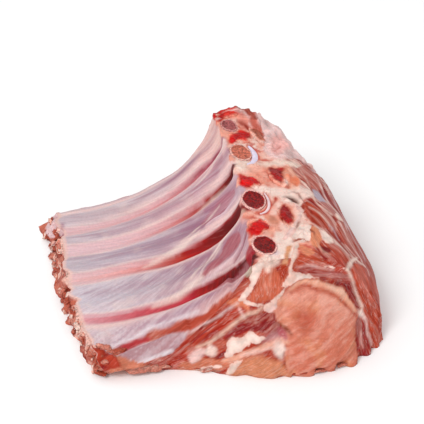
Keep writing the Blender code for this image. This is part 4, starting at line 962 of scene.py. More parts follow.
    def patch(self, side, outline, colour, share=1.0, edge=0.15, lift=0.0, fibre=None, marble=None,
              wet=None, streaky=0.0, rough=0.0, crisp=False, run=None, pale=0.28):
        """An area of one colour: fat with a crisp edge, film with pale streaks that are partly painted
        sheen, or meat with fibres.
        """
        mask, spots = self.sides[side]
        ragged = self.ragged[mask]
        depth = depth_inside(spots, self.points_on(side, outline)) + self.wobble[mask]
        depth += 0.12 * rough * ragged
        inside = smooth(0.5 + 0.5 * depth / edge)
        if run:
            self.run_fibres(side, *run, part=inside > 0.5)
        if crisp:
            self.put(mask, depth, colour, CRISP_EDGE)
        else:
            self.lay(mask, colour, share * inside)
            self.cover[mask] *= 1 - share * inside
            self.tone[mask] *= 1 + (0.12 * rough * ragged * inside)[:, None]
        self.lift[mask] += inside * (lift + 0.05 * rough * ragged)
        # pale pearl streaks on film: partly its own colour, partly a painted sheen
        if streaky:
            self.lay(mask, PEARL_AND_SHEEN, streaky * inside * smooth(0.2 + 0.9 * self.streaks(mask)))
        elif fibre and fibre > 0.75:
            bundles = self.streaks(mask)
            self.lay(mask, BACK_STREAK, pale * inside * smooth(2.2 * bundles - 0.1))
            self.lay(mask, MEAT_DARK, 0.30 * inside * smooth(-1.5 * bundles - 0.1))
            self.lift[mask] += 0.015 * inside * bundles
        for name, value in (("fibre", fibre), ("marble", marble), ("wet", wet)):
            if value is not None:
                self.move(name, mask, value, inside)

    def streaks(self, mask):
        """Noise drawn out along the fibres."""
        return noise3(self.grain[mask] * np.array([1, 1, 0]) * 0.4, 1.0, 50, 2)

    def run_fibres(self, side, degrees, along_mm, across_mm, part=None):
        """Turn the fibres of a side, or of a part of it, and make them this long and thick."""
        mask, spots = self.sides[side]
        grain = turned(spots, degrees, along_mm, across_mm, self.plain[mask][:, 2] * GRAIN_RISE)
        self.grain[mask] = grain if part is None else np.where(part[:, None], grain, self.grain[mask])


def turned(spots, degrees, long_mm, thick_mm, deep=0.0):
    """Places of spots along and across a direction, counted in fibres this long and thick."""
    turn = math.radians(degrees)
    far = spots[:, 0] * math.cos(turn) + spots[:, 1] * math.sin(turn)
    wide = spots[:, 1] * math.cos(turn) - spots[:, 0] * math.sin(turn)
    return np.stack([far * 10 / long_mm, wide * 10 / thick_mm, deep + 0 * far], -1)


def strands(spots, degrees, long_mm, thick_mm, seed, octaves=2):
    """Noise drawn out along a direction."""
    return noise3(turned(spots, degrees, long_mm, thick_mm), 1.0, seed, octaves)


def mixed(tone, colour, share):
    """A tone, or one for each point, with a share of a colour mixed in."""
    return tone + (np.asarray(colour) - tone) * np.clip(share, 0, 1)[:, None]


def film_edge(p):
    """s where the membrane ends at the sawn chine; the edge wanders."""
    return S_CHINE - 0.004 + 0.016 * noise3(p * np.array([0, 1, 0]), 0.011, 48, 3)


def paint_inner(flesh):
    """Membrane over the ribs, with pink flesh and red grooves between them."""
    mask, spots = flesh.sides[TOP]
    s, y = flesh.s[mask], flesh.plain[mask][:, 1]
    p, wobble = flesh.plain[mask], flesh.wobble[mask]
    k = np.clip(s / S_CHINE, 0, 1)
    share = 1 - smooth((s - film_edge(p)) / FILM_FADE)
    offsets = [behind(s, y, path) / CM for path, _ in GROOVES]
    band = sum((offset < 0).astype(int) for offset in offsets)
    rear_edge, front_edge = (plain(s, t)[:, 1] / CM for t in (1.0, 0.0))
    lines = np.stack([rear_edge] + [y / CM - offset for offset in offsets] + [front_edge])
    rear = np.take_along_axis(lines, band[None], 0)[0]
    front = np.take_along_axis(lines, band[None] + 1, 0)[0]
    v = (y / CM - front) / np.maximum(rear - front, 0.1)
    flesh.run_fibres(TOP, 24, 9.0, 0.8)
    ribwise = np.stack([spots[:, 0] * 10 / 24, flesh.u[mask] * 150 + spots[:, 0] * 0.8, 0 * s], -1)
    flesh.grain[mask] = np.where((band < 3)[:, None], ribwise, flesh.grain[mask])
    streaks = flesh.streaks(mask)
    mottle = noise3(p, 0.02, 54, 2)
    flow = smooth(0.5 + 0.9 * noise3(ribwise * np.array([0.25, 0.12, 0]), 1.0, 55, 2))
    for number, rows in enumerate(BAND_TONES):
        here = np.where(band == number, share, 0)
        flesh.lay(mask, along_rows(k, rows), here)
    # the dark stripe: bone under the membrane, with painted shade that grows toward the chine
    stripe = np.exp(-((v - np.array(STRIPE_AT)[band]) / 0.13) ** 2)
    bone_and_shade = stripe * (0.15 + 0.70 * smooth(k / 0.55)) * (0.45 + 0.7 * flow)
    flesh.lay(mask, BAND_BONE_AND_SHADE, share * bone_and_shade)
    # pale pearl streaks along the membrane: partly its fibres, partly a painted sheen that fades toward
    # the chine
    flesh.lay(mask, PEARL_AND_SHEEN, share * (0.42 - 0.24 * k) * smooth(0.2 + 0.8 * streaks + 0.4 * mottle))
    flesh.lay(mask, HAZE, share * 0.40 * smooth(-0.1 - 0.8 * streaks + 0.6 * mottle))
    # painted highlight along both edges of each band, where the rounded rib catches the light
    ridge_highlight = np.exp(-((v - 0.86) / 0.07) ** 2) + np.exp(-((v - 0.23) / 0.08) ** 2)
    flesh.lay(mask, PAINTED_RIDGE_HIGHLIGHT, share * 0.7 * ridge_highlight * (0.3 + 0.9 * flow))
    flesh.lay(mask, BUTTER, share * 0.22 * smooth(noise3(p, 0.017, 57, 3) * 1.6 - 0.4))
    for number, (pink_half, core_half, tones, border) in enumerate(GROOVE_LOOK):
        d = np.abs(offsets[number] + wobble * 0.4)
        pink, core = along(k, pink_half), along(k, core_half)
        rows = along_rows(k, tones)
        flesh.lay(mask, BUTTER, share * border * smooth(1 - np.abs(d - pink - 0.06) / 0.26))
        paler = rows + (np.array(ROSE) - rows) * 0.5
        fade = 0.35 - 0.12 * smooth((k - 0.4) / 0.2)
        flesh.lay(mask, paler, share * 0.9 * smooth((pink - d) / fade + 0.5))
        flesh.lay(mask, rows, share * smooth((core - d) / 0.14 + 0.5))
        # painted shade: each groove's red darkened on its rear side toward the chine, where the valley
        # faces away from the light
        deep = smooth((offsets[number] + 0.1) / 0.4) * smooth((k - 0.45) / 0.35)
        flesh.lay(mask, rows * 0.4, share * deep * smooth((core - d) / 0.2 + 0.2) * 0.75)
        flesh.lay(mask, rows * 1.5, share * 0.3 * smooth((core - d) / 0.2) * smooth(1.5 * streaks))
    flesh.lay(mask, TORN_EDGE, 0.9 * smooth(1.5 - s / 0.006))
    flesh.fibre[mask] = 0.32 * share + 0.8 * (1 - share)
    flesh.wet[mask] = 0.55
    flesh.lift[mask] += share * (0.006 * streaks + 0.02 * mottle)


def ring_reach(p, ring):
    """How far points lie from a bone's middle, as a share of its outline's distance."""
    middle = ring.mean(0)
    out, d = ring - middle, p[:, :2] - middle[:2]
    angle = np.arctan2(out[:, 1], out[:, 0])
    size = np.hypot(out[:, 0], out[:, 1])
    edge = np.interp(np.arctan2(d[:, 1], d[:, 0]), angle, size, period=2 * np.pi)
    return np.hypot(d[:, 0], d[:, 1]) / edge


def crescent_reach(p):
    """How far points lie under a crescent of cartilage, from 0 to 1, and how close to its edge."""
    under, near = np.zeros(len(p)), np.zeros(len(p))
    for number, *crescent in CRESCENTS:
        path, half, _ = crescent_path(number, *crescent)
        d, k = line_distance(p[:, :2], path)
        beyond = d - along(k, half)
        under = np.maximum(under, smooth(-beyond / 0.001))
        near = np.maximum(near, smooth(1 - np.abs(beyond - 0.0006) / 0.0018))
    return under, near


def facet_tone(p):
    """Tones of the sawn chine at points of it, and how much each point is sawn bone."""
    flat = p * np.array([1, 1, 0])
    spots = p[:, :2] / CM
    blotch, cloud = noise3(flat, 0.007, 60, 3), noise3(flat, 0.016, 64, 2)
    tone = np.tile(np.array(FACET_FAT), (len(p), 1))
    tone = mixed(tone, WHITE_FAT, 0.8 * smooth(-cloud * 2))
    tone = mixed(tone, STAIN, 0.75 * smooth(cloud * 2 + 0.4 * blotch + 0.15))
    tone = mixed(tone, RED_STAIN, 0.75 * smooth(blotch * 1.9 - 0.40))
    bone = np.zeros(len(p))
    for colour, outline in WEDGES:
        depth = depth_inside(spots, outline) + 0.24 * blotch
        inside = smooth(0.5 + depth / 0.42)
        tone = mixed(tone, STAIN, 0.8 * smooth(1 + depth / 0.5))
        tone = mixed(tone, np.array(colour) * (1 + 0.35 * blotch[:, None]), inside)
        bone = np.maximum(bone, inside)
    return tone, bone


def paint_facet(flesh):
    """Fat and blood round the sawn bones of the chine, and painted shadow along the crescents of
    cartilage.
    """
    mask, _ = flesh.sides[TOP]
    s, p, rough = flesh.s[mask], flesh.plain[mask], flesh.ragged[mask]
    share = smooth((s - film_edge(p)) / FILM_FADE) * (1 - smooth((s - S_FACET - 0.015) / 0.03))
    tone, bone = facet_tone(p)
    flesh.lay(mask, tone, share)
    flesh.lift[mask] += share * (0.05 + 0.09 * rough)
    for number in range(HEADED):
        reach = ring_reach(p, rib_rings(number)[-1])
        flesh.lay(mask, HEAD_TONES[number][0], share * 0.9 * smooth((1.18 + 0.1 * rough - reach) / 0.1))
        flesh.lay(mask, CLOT, share * 0.6 * np.exp(-((reach - 1.27) / 0.06) ** 2) * smooth(1.5 * rough))
        flesh.move("lift", mask, UNDER_BONE, smooth((1.03 - reach) / 0.06))
    for stump in VERTEBRAE + SPINES:
        reach = ring_reach(p, stump_rings(*stump)[2])
        flesh.move("lift", mask, UNDER_BONE, smooth((0.94 - reach) / 0.12))
    flesh.move("fibre", mask, 0.2, share)
    flesh.cracks[mask] = share * (1 - bone) * smooth(0.4 + 1.2 * rough)
    under, near = crescent_reach(p)
    # painted shadow: dark red along the edges of each crescent of cartilage
    flesh.lay(mask, RED_STAIN, 0.75 * near)
    flesh.move("lift", mask, UNDER_CARTILAGE, under)


def paint_back(flesh):
    """Muscles of the outer back, their fibres running down and forward, with streaks of fat."""
    mask, spots = flesh.sides[TOP]
    s, p = flesh.s[mask], flesh.plain[mask]
    share = smooth((s - S_FACET - 0.005) / 0.03)
    flesh.run_fibres(TOP, BACK_RUN, 14.0, 1.1, part=s > S_FACET)
    low = smooth((s - 0.78) / 0.10)
    broad, fine = strands(spots, BACK_RUN, 24, 3.4, 70), strands(spots, BACK_RUN, 15, 1.7, 71)
    bands = (1 - 0.5 * low) * broad + 0.5 * low * fine
    mottle = noise3(p, 0.022, 73, 2)
    flesh.lay(mask, BACK_MEAT, share)
    calm = 1 - 0.75 * low
    pale = smooth(bands * 2.2 + 0.5 * mottle + 0.1 + 0.25 * calm)
    flesh.lay(mask, BACK_STREAK, share * 0.85 * calm * pale)
    flesh.lay(mask, MEAT_DARK, share * 0.55 * calm * smooth(-bands * 2.0 - 0.2))
    flesh.lay(mask, SILVER, share * 0.6 * smooth(mottle * 2 - 0.7))
    fat = bands + 0.5 * mottle - 0.60 - 0.20 * low
    flesh.put(mask, np.where(share > 0.5, 0.5 * fat - 0.15 * (1 - calm), -1), IVORY, 0.2)
    flesh.lift[mask] += share * 0.06 * bands
    flesh.move("cracks", mask, 0.25, share)
    foot, _ = flesh.sides[FOOT]
    flesh.lay(foot, BACK_MEAT, 1.0)


def paint_cuts(flesh):
    """Base tones of the front cut, the rear cut and the tip face."""
    for side, seed in ((FRONT, 80), (REAR, 84)):
        mask, spots = flesh.sides[side]
        bundle = strands(spots, CUT_RUN, 26, 3.6, seed, 3)
        flesh.lay(mask, FRONT_MEAT, 1.0)
        flesh.lay(mask, MEAT_LIGHT, 0.6 * smooth(bundle * 1.5))
        flesh.lay(mask, MEAT_DARK, 0.7 * smooth(-bundle * 1.5 - 0.1))
        flesh.lift[mask] += 0.08 * bundle
        flesh.run_fibres(side, CUT_RUN, 7.0, 0.8)
        flesh.marble[mask], flesh.fibre[mask] = 0.25, 0.8
    mask, _ = flesh.sides[TIP]
    p = flesh.plain[mask]
    mottle = noise3(p, 0.007, 88, 3)
    flesh.lay(mask, TIP_MEAT, 1.0)
    flesh.lay(mask, MEAT_LIGHT, smooth(mottle * 1.5))
    flesh.lay(mask, MEAT_DARK, 0.6 * smooth(-mottle * 1.5 - 0.3))
    flesh.lay(mask, TIP_FAT, 0.9 * smooth(noise3(p, 0.009, 90, 2) * 2 - 0.4))
    top_z = plain(0.0, flesh.t[mask])[:, 2]
    flesh.lay(mask, TIP_RIM, smooth(1 - (top_z - p[:, 2]) / 0.0035) * 0.8)
    flesh.lift[mask] += 0.12 * mottle
    flesh.cracks[mask] = 0.6


def paint_eye(flesh):
    """The round muscle of the front cut, with fine fibres that wander."""
    mask, spots = flesh.sides[FRONT]
    p = flesh.plain[mask]
    inside = smooth(0.5 + (depth_inside(spots, EYE_OUTLINE) + 0.6 * flesh.wobble[mask]) / 0.25)
    spots = spots + 0.3 * np.stack([noise3(p, 0.03, 95, 2), noise3(p, 0.03, 97, 2)], -1)
    # painted light and shade: the eye lighter at its top, darker toward its foot
    low = smooth((6.8 - spots[:, 1]) / 4.5)
    fine, clouds = strands(spots, EYE_RUN, 9, 2.4, 98, 3), noise3(p, 0.016, 92, 2)
    flesh.lay(mask, mixed(np.array(EYE_LIT_TOP), EYE, low), inside)
    flesh.lay(mask, EYE_CLOUD, inside * 0.6 * smooth(clouds * 1.6))
    # painted glints: pale streaks along the eye's fibres
    flesh.lay(mask, EYE_GLINT, inside * 0.34 * smooth(fine * 1.7))
    flesh.lay(mask, EYE_DARK, inside * 0.36 * smooth(-fine * 1.7 - 0.05))
    flesh.lift[mask] += 0.02 * inside * fine
    flesh.move("fibre", mask, 0.32, inside)
    flesh.marble[mask] *= 1 - 0.6 * inside
    grain = turned(spots, EYE_RUN, 5.0, 0.8)
    flesh.grain[mask] = np.where((inside > 0.5)[:, None], grain, flesh.grain[mask])


def paint_lines(flesh):
    """Every patch and line that has a place of its own."""
    for side, colour, options, outline in PATCHES:
        flesh.patch(side, outline, colour, **options)
    for side, colour, half, lift, soft, points in STROKES:
        flesh.stroke(side, points, half, colour, lift, soft)


# ---- meshes ----
def add_object(name, data):
    obj = bpy.data.objects.new(name, data)
    bpy.context.scene.collection.objects.link(obj)
    return obj


def add_mesh(name, points, faces):
    mesh = bpy.data.meshes.new(name)
    mesh.from_pydata(np.asarray(points).tolist(), [], faces)
    mesh.shade_smooth()
    return add_object(name, mesh)


def centred(points):
    """Points moved from the driving dimensions' origin to the frame's."""
    return np.asarray(points) - np.array([*CENTRE, 0])


def deepened(tone):
    """Tones with their dark parts lowered, against the white surroundings' sheen."""
    tone = np.clip(tone, 0, 1)
    return np.maximum(tone - SHEEN * (1 - tone) ** 2, 0.004)


def set_layer(mesh, name, values, alpha=None):
    """Store a vector on every point of a mesh, or with alpha a colour."""
    if alpha is None:
        layer = mesh.attributes.new(name, "FLOAT_VECTOR", "POINT")
        layer.data.foreach_set("vector", np.asarray(values, np.float32).ravel())
        return
    layer = mesh.color_attributes.new(name, "FLOAT_COLOR", "POINT")
    colours = np.concatenate([values, np.asarray(alpha)[:, None]], 1)
    layer.data.foreach_set("color", colours.astype(np.float32).ravel())


def vertex_normals(points, quads):
    """Mean direction of the quads round each point."""
    a, b, c, d = (points[corner] for corner in quads.T)
    n = np.repeat(np.cross(c - a, d - b), 4, axis=0)
    total = np.stack([np.bincount(quads.ravel(), n[:, i], len(points)) for i in range(3)], -1)
    return total / np.maximum(np.linalg.norm(total, axis=1, keepdims=True), 1e-12)


def soften(points, quads, share):
    """Move points toward the mean of their neighbours, by a share for each point."""
    a = quads.ravel()
    b = np.roll(quads, -1, axis=1).ravel()
    ends, others = np.concatenate([a, b]), np.concatenate([b, a])
    count = np.bincount(ends, minlength=len(points))
    mean = np.stack([np.bincount(ends, points[others, c], len(points)) / count for c in range(3)], -1)
    return points + (mean - points) * share[:, None]


def shape_flesh(flesh):
    """Points of the flesh: the frame's body, its edges softened, then the fine lift."""
    s, t, w = flesh.s, flesh.t, flesh.w
    p = flesh.plain + normal(s, t) * (top_relief(s, t, flesh.plain) * smooth((w - 0.4) / 0.6))[:, None]
    long = REAR_Y[0]
    front = front_relief(p[:, 0], p[:, 2]) * smooth(1 - t * long / FADE)
    rear = RAGGED_REAR * noise(p[:, 0], p[:, 2], 0.022, 7) * smooth(1 - (1 - t) * long / FADE)
    p[:, 1] += rear - front
    p[:, 0] -= tip_relief(p[:, 1], p[:, 2]) * smooth(1 - s / 0.05)
    rim = (s < 0.008) | (t < 0.02) | (t > 0.98) | (s > 0.99)
    share = np.where(rim & (w > 0), 0.5, 0.0)
    for _ in range(3):
        p = soften(p, flesh.quads, share)
    n = vertex_normals(p, flesh.quads)
    n[:, 2] *= w > 0
    p = p + n * (flesh.lift * CM * smooth(w / 0.04))[:, None]
    p[:, 2] = np.where(w > 0, np.maximum(p[:, 2], 0.0003), 0.0)
    return p


# ---- materials ----
class Graph:
    """A material's nodes, made and joined in one call each."""

    def __init__(self, name):
        self.material = bpy.data.materials.new(name)
        self.material.use_nodes = True
        self.nodes, self.links = self.material.node_tree.nodes, self.material.node_tree.links
        self.shader = self.nodes["Principled BSDF"]

    def set(self, socket, value):
        if isinstance(value, bpy.types.NodeSocket):
            self.links.new(value, socket)
        else:
            socket.default_value = value

    def give(self, **values):
        """Set the shader's sockets, named with underscores for spaces."""
        for name, value in values.items():
            self.set(self.shader.inputs[name.replace("_", " ")], value)

    def place(self):
        return self.nodes.new("ShaderNodeTexCoord").outputs["Object"]

    def attribute(self, name):
        node = self.nodes.new("ShaderNodeAttribute")
        node.attribute_name = name
        return node

    def math(self, operation, a, b=0.0, c=0.0):
        node = self.nodes.new("ShaderNodeMath")
        node.operation = operation
        for socket, value in zip(node.inputs, (a, b, c)):
            self.set(socket, value)
        return node.outputs[0]

    def noise(self, vector, scale, detail=2.0, distortion=0.0):
        node = self.nodes.new("ShaderNodeTexNoise")
        self.set(node.inputs["Vector"], vector)
        node.inputs["Scale"].default_value = scale
        node.inputs["Detail"].default_value = detail
        node.inputs["Distortion"].default_value = distortion
        return node.outputs["Fac"]

    def step(self, value, low, high, to_low=0.0, to_high=1.0):
        node = self.nodes.new("ShaderNodeMapRange")
        node.interpolation_type = "SMOOTHSTEP"
        for socket, v in zip(node.inputs, (value, low, high, to_low, to_high)):
            self.set(socket, v)
        return node.outputs[0]

    def mix(self, share, a, b):
        node = self.nodes.new("ShaderNodeMix")
        node.data_type = "RGBA"
        sockets = [node.inputs["Factor"], *[i for i in node.inputs if i.type == "RGBA"]]
        for socket, value in zip(sockets, (share, a, b)):
            self.set(socket, value)
        return [o for o in node.outputs if o.type == "RGBA"][0]

    def scaled(self, colour, factor):
        node = self.nodes.new("ShaderNodeVectorMath")
        node.operation = "SCALE"
        self.set(node.inputs[0], colour)
        self.set(node.inputs["Scale"], factor)
        return node.outputs[0]

    def bump(self, height, strength, distance):
        node = self.nodes.new("ShaderNodeBump")
        node.inputs["Strength"].default_value = strength
        node.inputs["Distance"].default_value = distance
        self.set(node.inputs["Height"], height)
        self.give(Normal=node.outputs[0])

    def away(self, value, share, start):
        """`start`, and a share of how far a noise lies from its middle."""
        return self.math("MULTIPLY_ADD", self.math("SUBTRACT", value, 0.5), share, start)

    def line(self, value, half):
        """1 along the lines where a noise passes through its middle, 0 beyond a half width."""
        return self.step(self.math("ABSOLUTE", self.math("SUBTRACT", value, 0.5)), half, 0.0)


def flesh_material():
    """Fibres, marbling and cracks over the painted tones, with the painted fat on top."""
    g = Graph("flesh")
    place = g.place()
    tone, over = g.attribute("tone"), g.attribute("over")
    grain, look = g.attribute("grain").outputs["Vector"], g.attribute("look")
    split = g.nodes.new("ShaderNodeSeparateXYZ")
    g.set(split.inputs[0], look.outputs["Vector"])
    fibre, marble, wet = split.outputs
    threads = g.noise(grain, 1.0, 3.0, 0.3)
    specks = g.noise(place, 420.0, 3.0)
    light = g.away(threads, g.math("MULTIPLY", fibre, 1.5), 1.0)
    light = g.away(specks, 0.3, light)
    base = g.scaled(tone.outputs["Color"], light)
    pale = g.math("MULTIPLY", g.step(threads, 0.56, 0.72), g.math("MULTIPLY", fibre, 0.15))
    base = g.mix(pale, base, (*BUTTER, 1))
    vein = g.math("MULTIPLY", g.line(g.noise(grain, 0.28, 3.0, 1.2), 0.03), marble)
    base = g.mix(vein, base, (*BUTTER, 1))
    edge = g.away(g.noise(place, 500.0, 3.0), 0.4, over.outputs["Alpha"])
    edge = g.away(g.noise(place, 170.0, 2.0), 0.3, edge)
    mask = g.step(edge, 0.38, 0.62)
    fat = g.scaled(over.outputs["Color"], g.step(g.noise(place, 160.0, 4.0), 0.2, 0.8, 0.78, 1.12))
    crack = g.math("MULTIPLY", g.line(g.noise(place, 110.0, 3.0, 0.8), 0.05), tone.outputs["Alpha"])
    colour = g.mix(g.math("MULTIPLY", crack, 0.35), g.mix(mask, base, fat), (*CRACK, 1))
    rough = g.math("MULTIPLY_ADD", wet, -0.35, 0.62)
    rough = g.math("MULTIPLY_ADD", g.noise(place, 90.0), 0.2, rough)
    g.give(Base_Color=g.scaled(colour, PAINT), Roughness=rough)
    height = g.math("MULTIPLY", threads, fibre)
    height = g.math("MULTIPLY_ADD", specks, 0.5, height)
    height = g.math("MULTIPLY_ADD", crack, -0.4, height)
    g.bump(g.math("MULTIPLY_ADD", mask, 0.3, height), 0.5, 0.0006)
    translucent(g, 0.12)
    return g.material


def translucent(g, weight):
    """Light passes a little way under the surface, and red goes deepest."""
    g.give(Subsurface_Weight=weight, Subsurface_Radius=(1.0, 0.35, 0.25), Subsurface_Scale=0.0025)
    g.give(Specular_IOR_Level=SHINE)


def bone_material(name, hollow, roughness, spotty=0.3, bumpy=0.6):
    """Painted bone with small holes: `hollow` is how dark they are, `spotty` how uneven the rest."""
    g = Graph(name)
    place = g.place()
    tone = g.attribute("tone")
    cells = g.nodes.new("ShaderNodeTexVoronoi")
    cells.inputs["Scale"].default_value = 430.0
    g.set(cells.inputs["Vector"], place)
    hole = g.step(cells.outputs["Distance"], 0.55, 0.15)
    hole = g.math("MULTIPLY", hole, tone.outputs["Alpha"])
    specks = g.noise(place, 600.0, 4.0)
    base = g.scaled(tone.outputs["Color"], g.step(specks, 0.3, 0.7, 1.0 - spotty, 1.0 + spotty))
    light = g.math("MULTIPLY_ADD", hole, -hollow, PAINT)
    g.give(Base_Color=g.scaled(base, light), Roughness=roughness)
    g.bump(g.math("MULTIPLY_ADD", hole, -1.0, specks), bumpy, 0.0007)
    translucent(g, 0.1)
    return g.material


# ---- pieces ----
def add_piece(obj, material, node):
    """Give a piece its material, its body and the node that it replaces."""
    obj.data.materials.append(material)
    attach(obj, "root")
    if node:
        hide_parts(node)


def make_flesh():
    """The body of meat and fat with its membrane, from the frame's bent box."""
    flesh = Flesh()
    for paint in (paint_inner, paint_facet, paint_back, paint_cuts, paint_eye, paint_lines):
        paint(flesh)
    obj = add_mesh("flesh", centred(shape_flesh(flesh)), flesh.quads.tolist() + [flesh.ring.tolist()])
    set_layer(obj.data, "tone", deepened(flesh.tone), flesh.cracks)
    set_layer(obj.data, "over", deepened(flesh.over), flesh.cover)
    set_layer(obj.data, "grain", flesh.grain)
    set_layer(obj.data, "look", np.stack([flesh.fibre, flesh.marble, flesh.wet], -1))
    add_piece(obj, flesh_material(), "meat")


def tube(rings):
    """Points and faces of a closed tube, its ends closed by a fan."""
    count, sides = rings.shape[:2]
    points = np.concatenate([rings.reshape(-1, 3), rings[:1].mean(1), rings[-1:].mean(1)])
    i, j = np.meshgrid(np.arange(count - 1), np.arange(sides), indexing="ij")
    a, b = (i * sides + j).ravel(), (i * sides + (j + 1) % sides).ravel()
    faces = np.stack([a, b, b + sides, a + sides], -1).tolist()
    first, last = count * sides, count * sides + 1
    for j in range(sides):
        b = (j + 1) % sides
        faces.append((first, b, j))
        faces.append((last, last - 1 - sides + j, last - 1 - sides + b))
    return points, faces


def add_tube(name, rings):
    """A tube as an object, and its points before they are centred."""
    points, faces = tube(rings)
    return add_mesh(name, centred(points), faces), points


def facet_height(x, y):
    """Height of the sawn facet over a point, through the rear lump too."""
    t = (y - along(across_share(x), HEAD_Y)) / (REAR_Y[4] - HEAD_Y[5])
    k = (x - along(t, CHINE_X)) / along(t, FACET_WIDE)
    return along(t, CHINE_Z) - along(t, FACET_DROP) * k + rear_lump(x, y)


def rib_rings(number):
    """Rings of one rib, from its tip to its sawn head or its end inside the meat."""
    path, (start, end), head = RIBS[number]
    angle = np.linspace(0, 2 * np.pi, RIB_SIDES, endpoint=False)
    rings = []
    for s in np.linspace(start, end, RIB_STATIONS):
        k = s / S_CHINE
        centre = plain(s, along(k, path))
        before, beyond = (plain(s + step, along(k + 2 * step, path)) for step in (-0.01, 0.01))
        forward = (beyond - before) / np.linalg.norm(beyond - before)
        up = normal(np.float64(s) - 0.006, along(k, path))
        side = np.cross(up, forward)
        side /= np.linalg.norm(side)
        wide, thick, sink = rib_size(k, number)
        if not head:
            taper = 1 - 0.45 * smooth((s - end + 0.06) / 0.06)
            wide, thick = wide * taper, thick * taper
        across = np.outer(np.cos(angle) * wide, side) + np.outer(np.sin(angle) * thick, up)
        rings.append(centre - up * sink + across)
    if head:
        last = rings[-1]
        forward = (last - rings[-2]).mean(0)
        forward /= np.linalg.norm(forward)
        for _ in range(3):
            lift = facet_height(last[:, 0], last[:, 1]) + HEAD_PROUD - last[:, 2]
            last = last + np.outer(lift / forward[2], forward)
        rings[-1] = last
    if start == 0:
        top_x, top_z = profile(np.float64(0), path[0])
        flare = along(path[0], TIP_FLARE) * (1 - np.clip(rings[0][:, 2] / top_z, 0, 1))
        rings[0][:, 0] = top_x - flare - RIB_END_PROUD
    return np.array(rings)


def capped(rings, seed):
    """Rings with both ends closed by rings that shrink to the middle; also each ring's reach."""
    reach = np.array(CAP_SCALES)
    caps = []
    for end, inner in ((rings[0], rings[1]), (rings[-1], rings[-2])):
        middle = end.mean(0)
        inward = inner.mean(0) - middle
        inward /= np.linalg.norm(inward)
        cap = middle + (end - middle) * reach[:, None, None]
        rough = noise3(cap.reshape(-1, 3), 0.0035, seed, 2).reshape(cap.shape[:2])
        depth = CAP_DISH * smooth((0.86 - reach) / 0.15)[:, None] + 0.0004 * rough
        caps.append(cap + inward * depth[..., None])
    full = np.concatenate([caps[0][::-1], rings, caps[1]])
    return full, np.concatenate([reach[::-1], np.full(len(rings), 1.0), reach])


def make_ribs():
    """Six bones, with painted marrow at the sawn heads and at the bare tips."""
    film = bone_material("rib", 0.0, 0.4)
    caps = len(CAP_SCALES)
    for number in range(len(RIBS)):
        rings, reach = capped(rib_rings(number), CAP_SEED + number)
        obj, points = add_tube(f"rib_visual_{number + 1}", rings)
        reach = np.concatenate([np.repeat(reach, RIB_SIDES), [0, 0]])
        ring = np.concatenate([np.repeat(np.arange(len(rings)), RIB_SIDES), [0, len(rings) - 1]])
        at_head = ring > len(rings) / 2
        tone = np.tile(np.array(LILAC), (len(points), 1))
        rough = noise3(points, 0.004, RIB_SEED + number, 2)
        tip_tones = (CREAM, BARE_END) if number in BARE_ENDS else (BURIED_RIM, TIP_MEAT)
        inside = smooth((0.93 + 0.06 * rough - reach) / 0.06)
        for where, (rim, core) in ((at_head, HEAD_TONES[number]), (~at_head, tip_tones)):
            cap = where & (reach < 1)
            tone[cap] = mixed(np.array(rim), core, inside)[cap]
        from_head = len(rings) - caps - ring
        tone[(from_head > 0) & (from_head < HEAD_STATIONS)] = HEAD_TONES[number][0]
        tone[(ring >= caps) & (ring < caps + TIP_STATIONS)] = RIB_TIP
        spongy = np.where(reach < 0.90, 1.0, 0.0)
        set_layer(obj.data, "tone", deepened(tone * (1 + 0.2 * rough[:, None])), spongy)
        bone = film
        if number < HEADED:
            bone = bone_material(f"rib_{number + 1}", HEAD_HOLLOWS[number], 0.4, 0.45)
        add_piece(obj, bone, f"rib_{number + 1}")


def stump_rings(x, y, half_x, half_y, turn, proud):
    """Rings of a stump of sawn bone, from its foot in the meat to its domed top."""
    angle = np.linspace(0, 2 * np.pi, STUMP_SIDES, endpoint=False)
    uneven = 1 + 0.10 * np.sin(2 * angle + x * 900) + 0.06 * np.sin(3 * angle + y * 700)
    uneven += 0.05 * np.sin(5 * angle + x * 500) + 0.035 * np.sin(9 * angle + y * 300)
    turn = math.radians(turn)
    rings = []
    highs = [-STUMP_DEEP, -STUMP_DEEP / 2, -0.0005, proud * 0.7]
    highs += [proud * (1 + 0.9 * (1 - r)) for r in STUMP_SCALES[4:]]
    for scale, high in zip(STUMP_SCALES, highs):
        a, b = np.cos(angle) * uneven * scale * half_x, np.sin(angle) * uneven * scale * half_y
        px = x + a * math.cos(turn) - b * math.sin(turn)
        py = y + a * math.sin(turn) + b * math.cos(turn)
        flat = np.stack([px, py, 0 * px], -1)
        rough = 0.0007 * noise3(flat, 0.004, STUMP_SEED, 2) * (high > 0)
        rings.append(np.stack([px, py, facet_height(px, py) + high + rough], -1))
    return np.array(rings)


def make_stumps():
    """The sawn vertebrae and spines, painted as the facet round them."""
    for kind, stumps, slot in (("vertebra", VERTEBRAE, "marrow_bone"), ("spine", SPINES, "spongy_bone")):
        for number, stump in enumerate(stumps, 1):
            obj, points = add_tube(f"{kind}_visual_{number}", stump_rings(*stump))
            tone, bone = facet_tone(points)
            rough = noise3(points, 0.004, BONE_SEED + number, 3)
            set_layer(obj.data, "tone", deepened(tone * (1 + 0.25 * rough[:, None])), 0.8 * bone)
            node = f"{kind}_{number}"
            add_piece(obj, bone_material(node, 0.12, 0.35, 0.2), node)


def crescent_path(number, radius_x, radius_y, start, end, wide):
    """The middle line of a crescent round a rib head, in x and y, its half widths and angles."""
    middle = rib_rings(number - 1)[-1].mean(0)
    k = np.linspace(0, 1, CRESCENT_STATIONS)
    angle = np.radians(start + (end - start) * k)
    line = np.stack([middle[0] + radius_x * np.cos(angle), middle[1] + radius_y * np.sin(angle)], -1)
    return line, wide / 2 * (0.45 + 0.55 * np.sin(np.pi * k)), angle


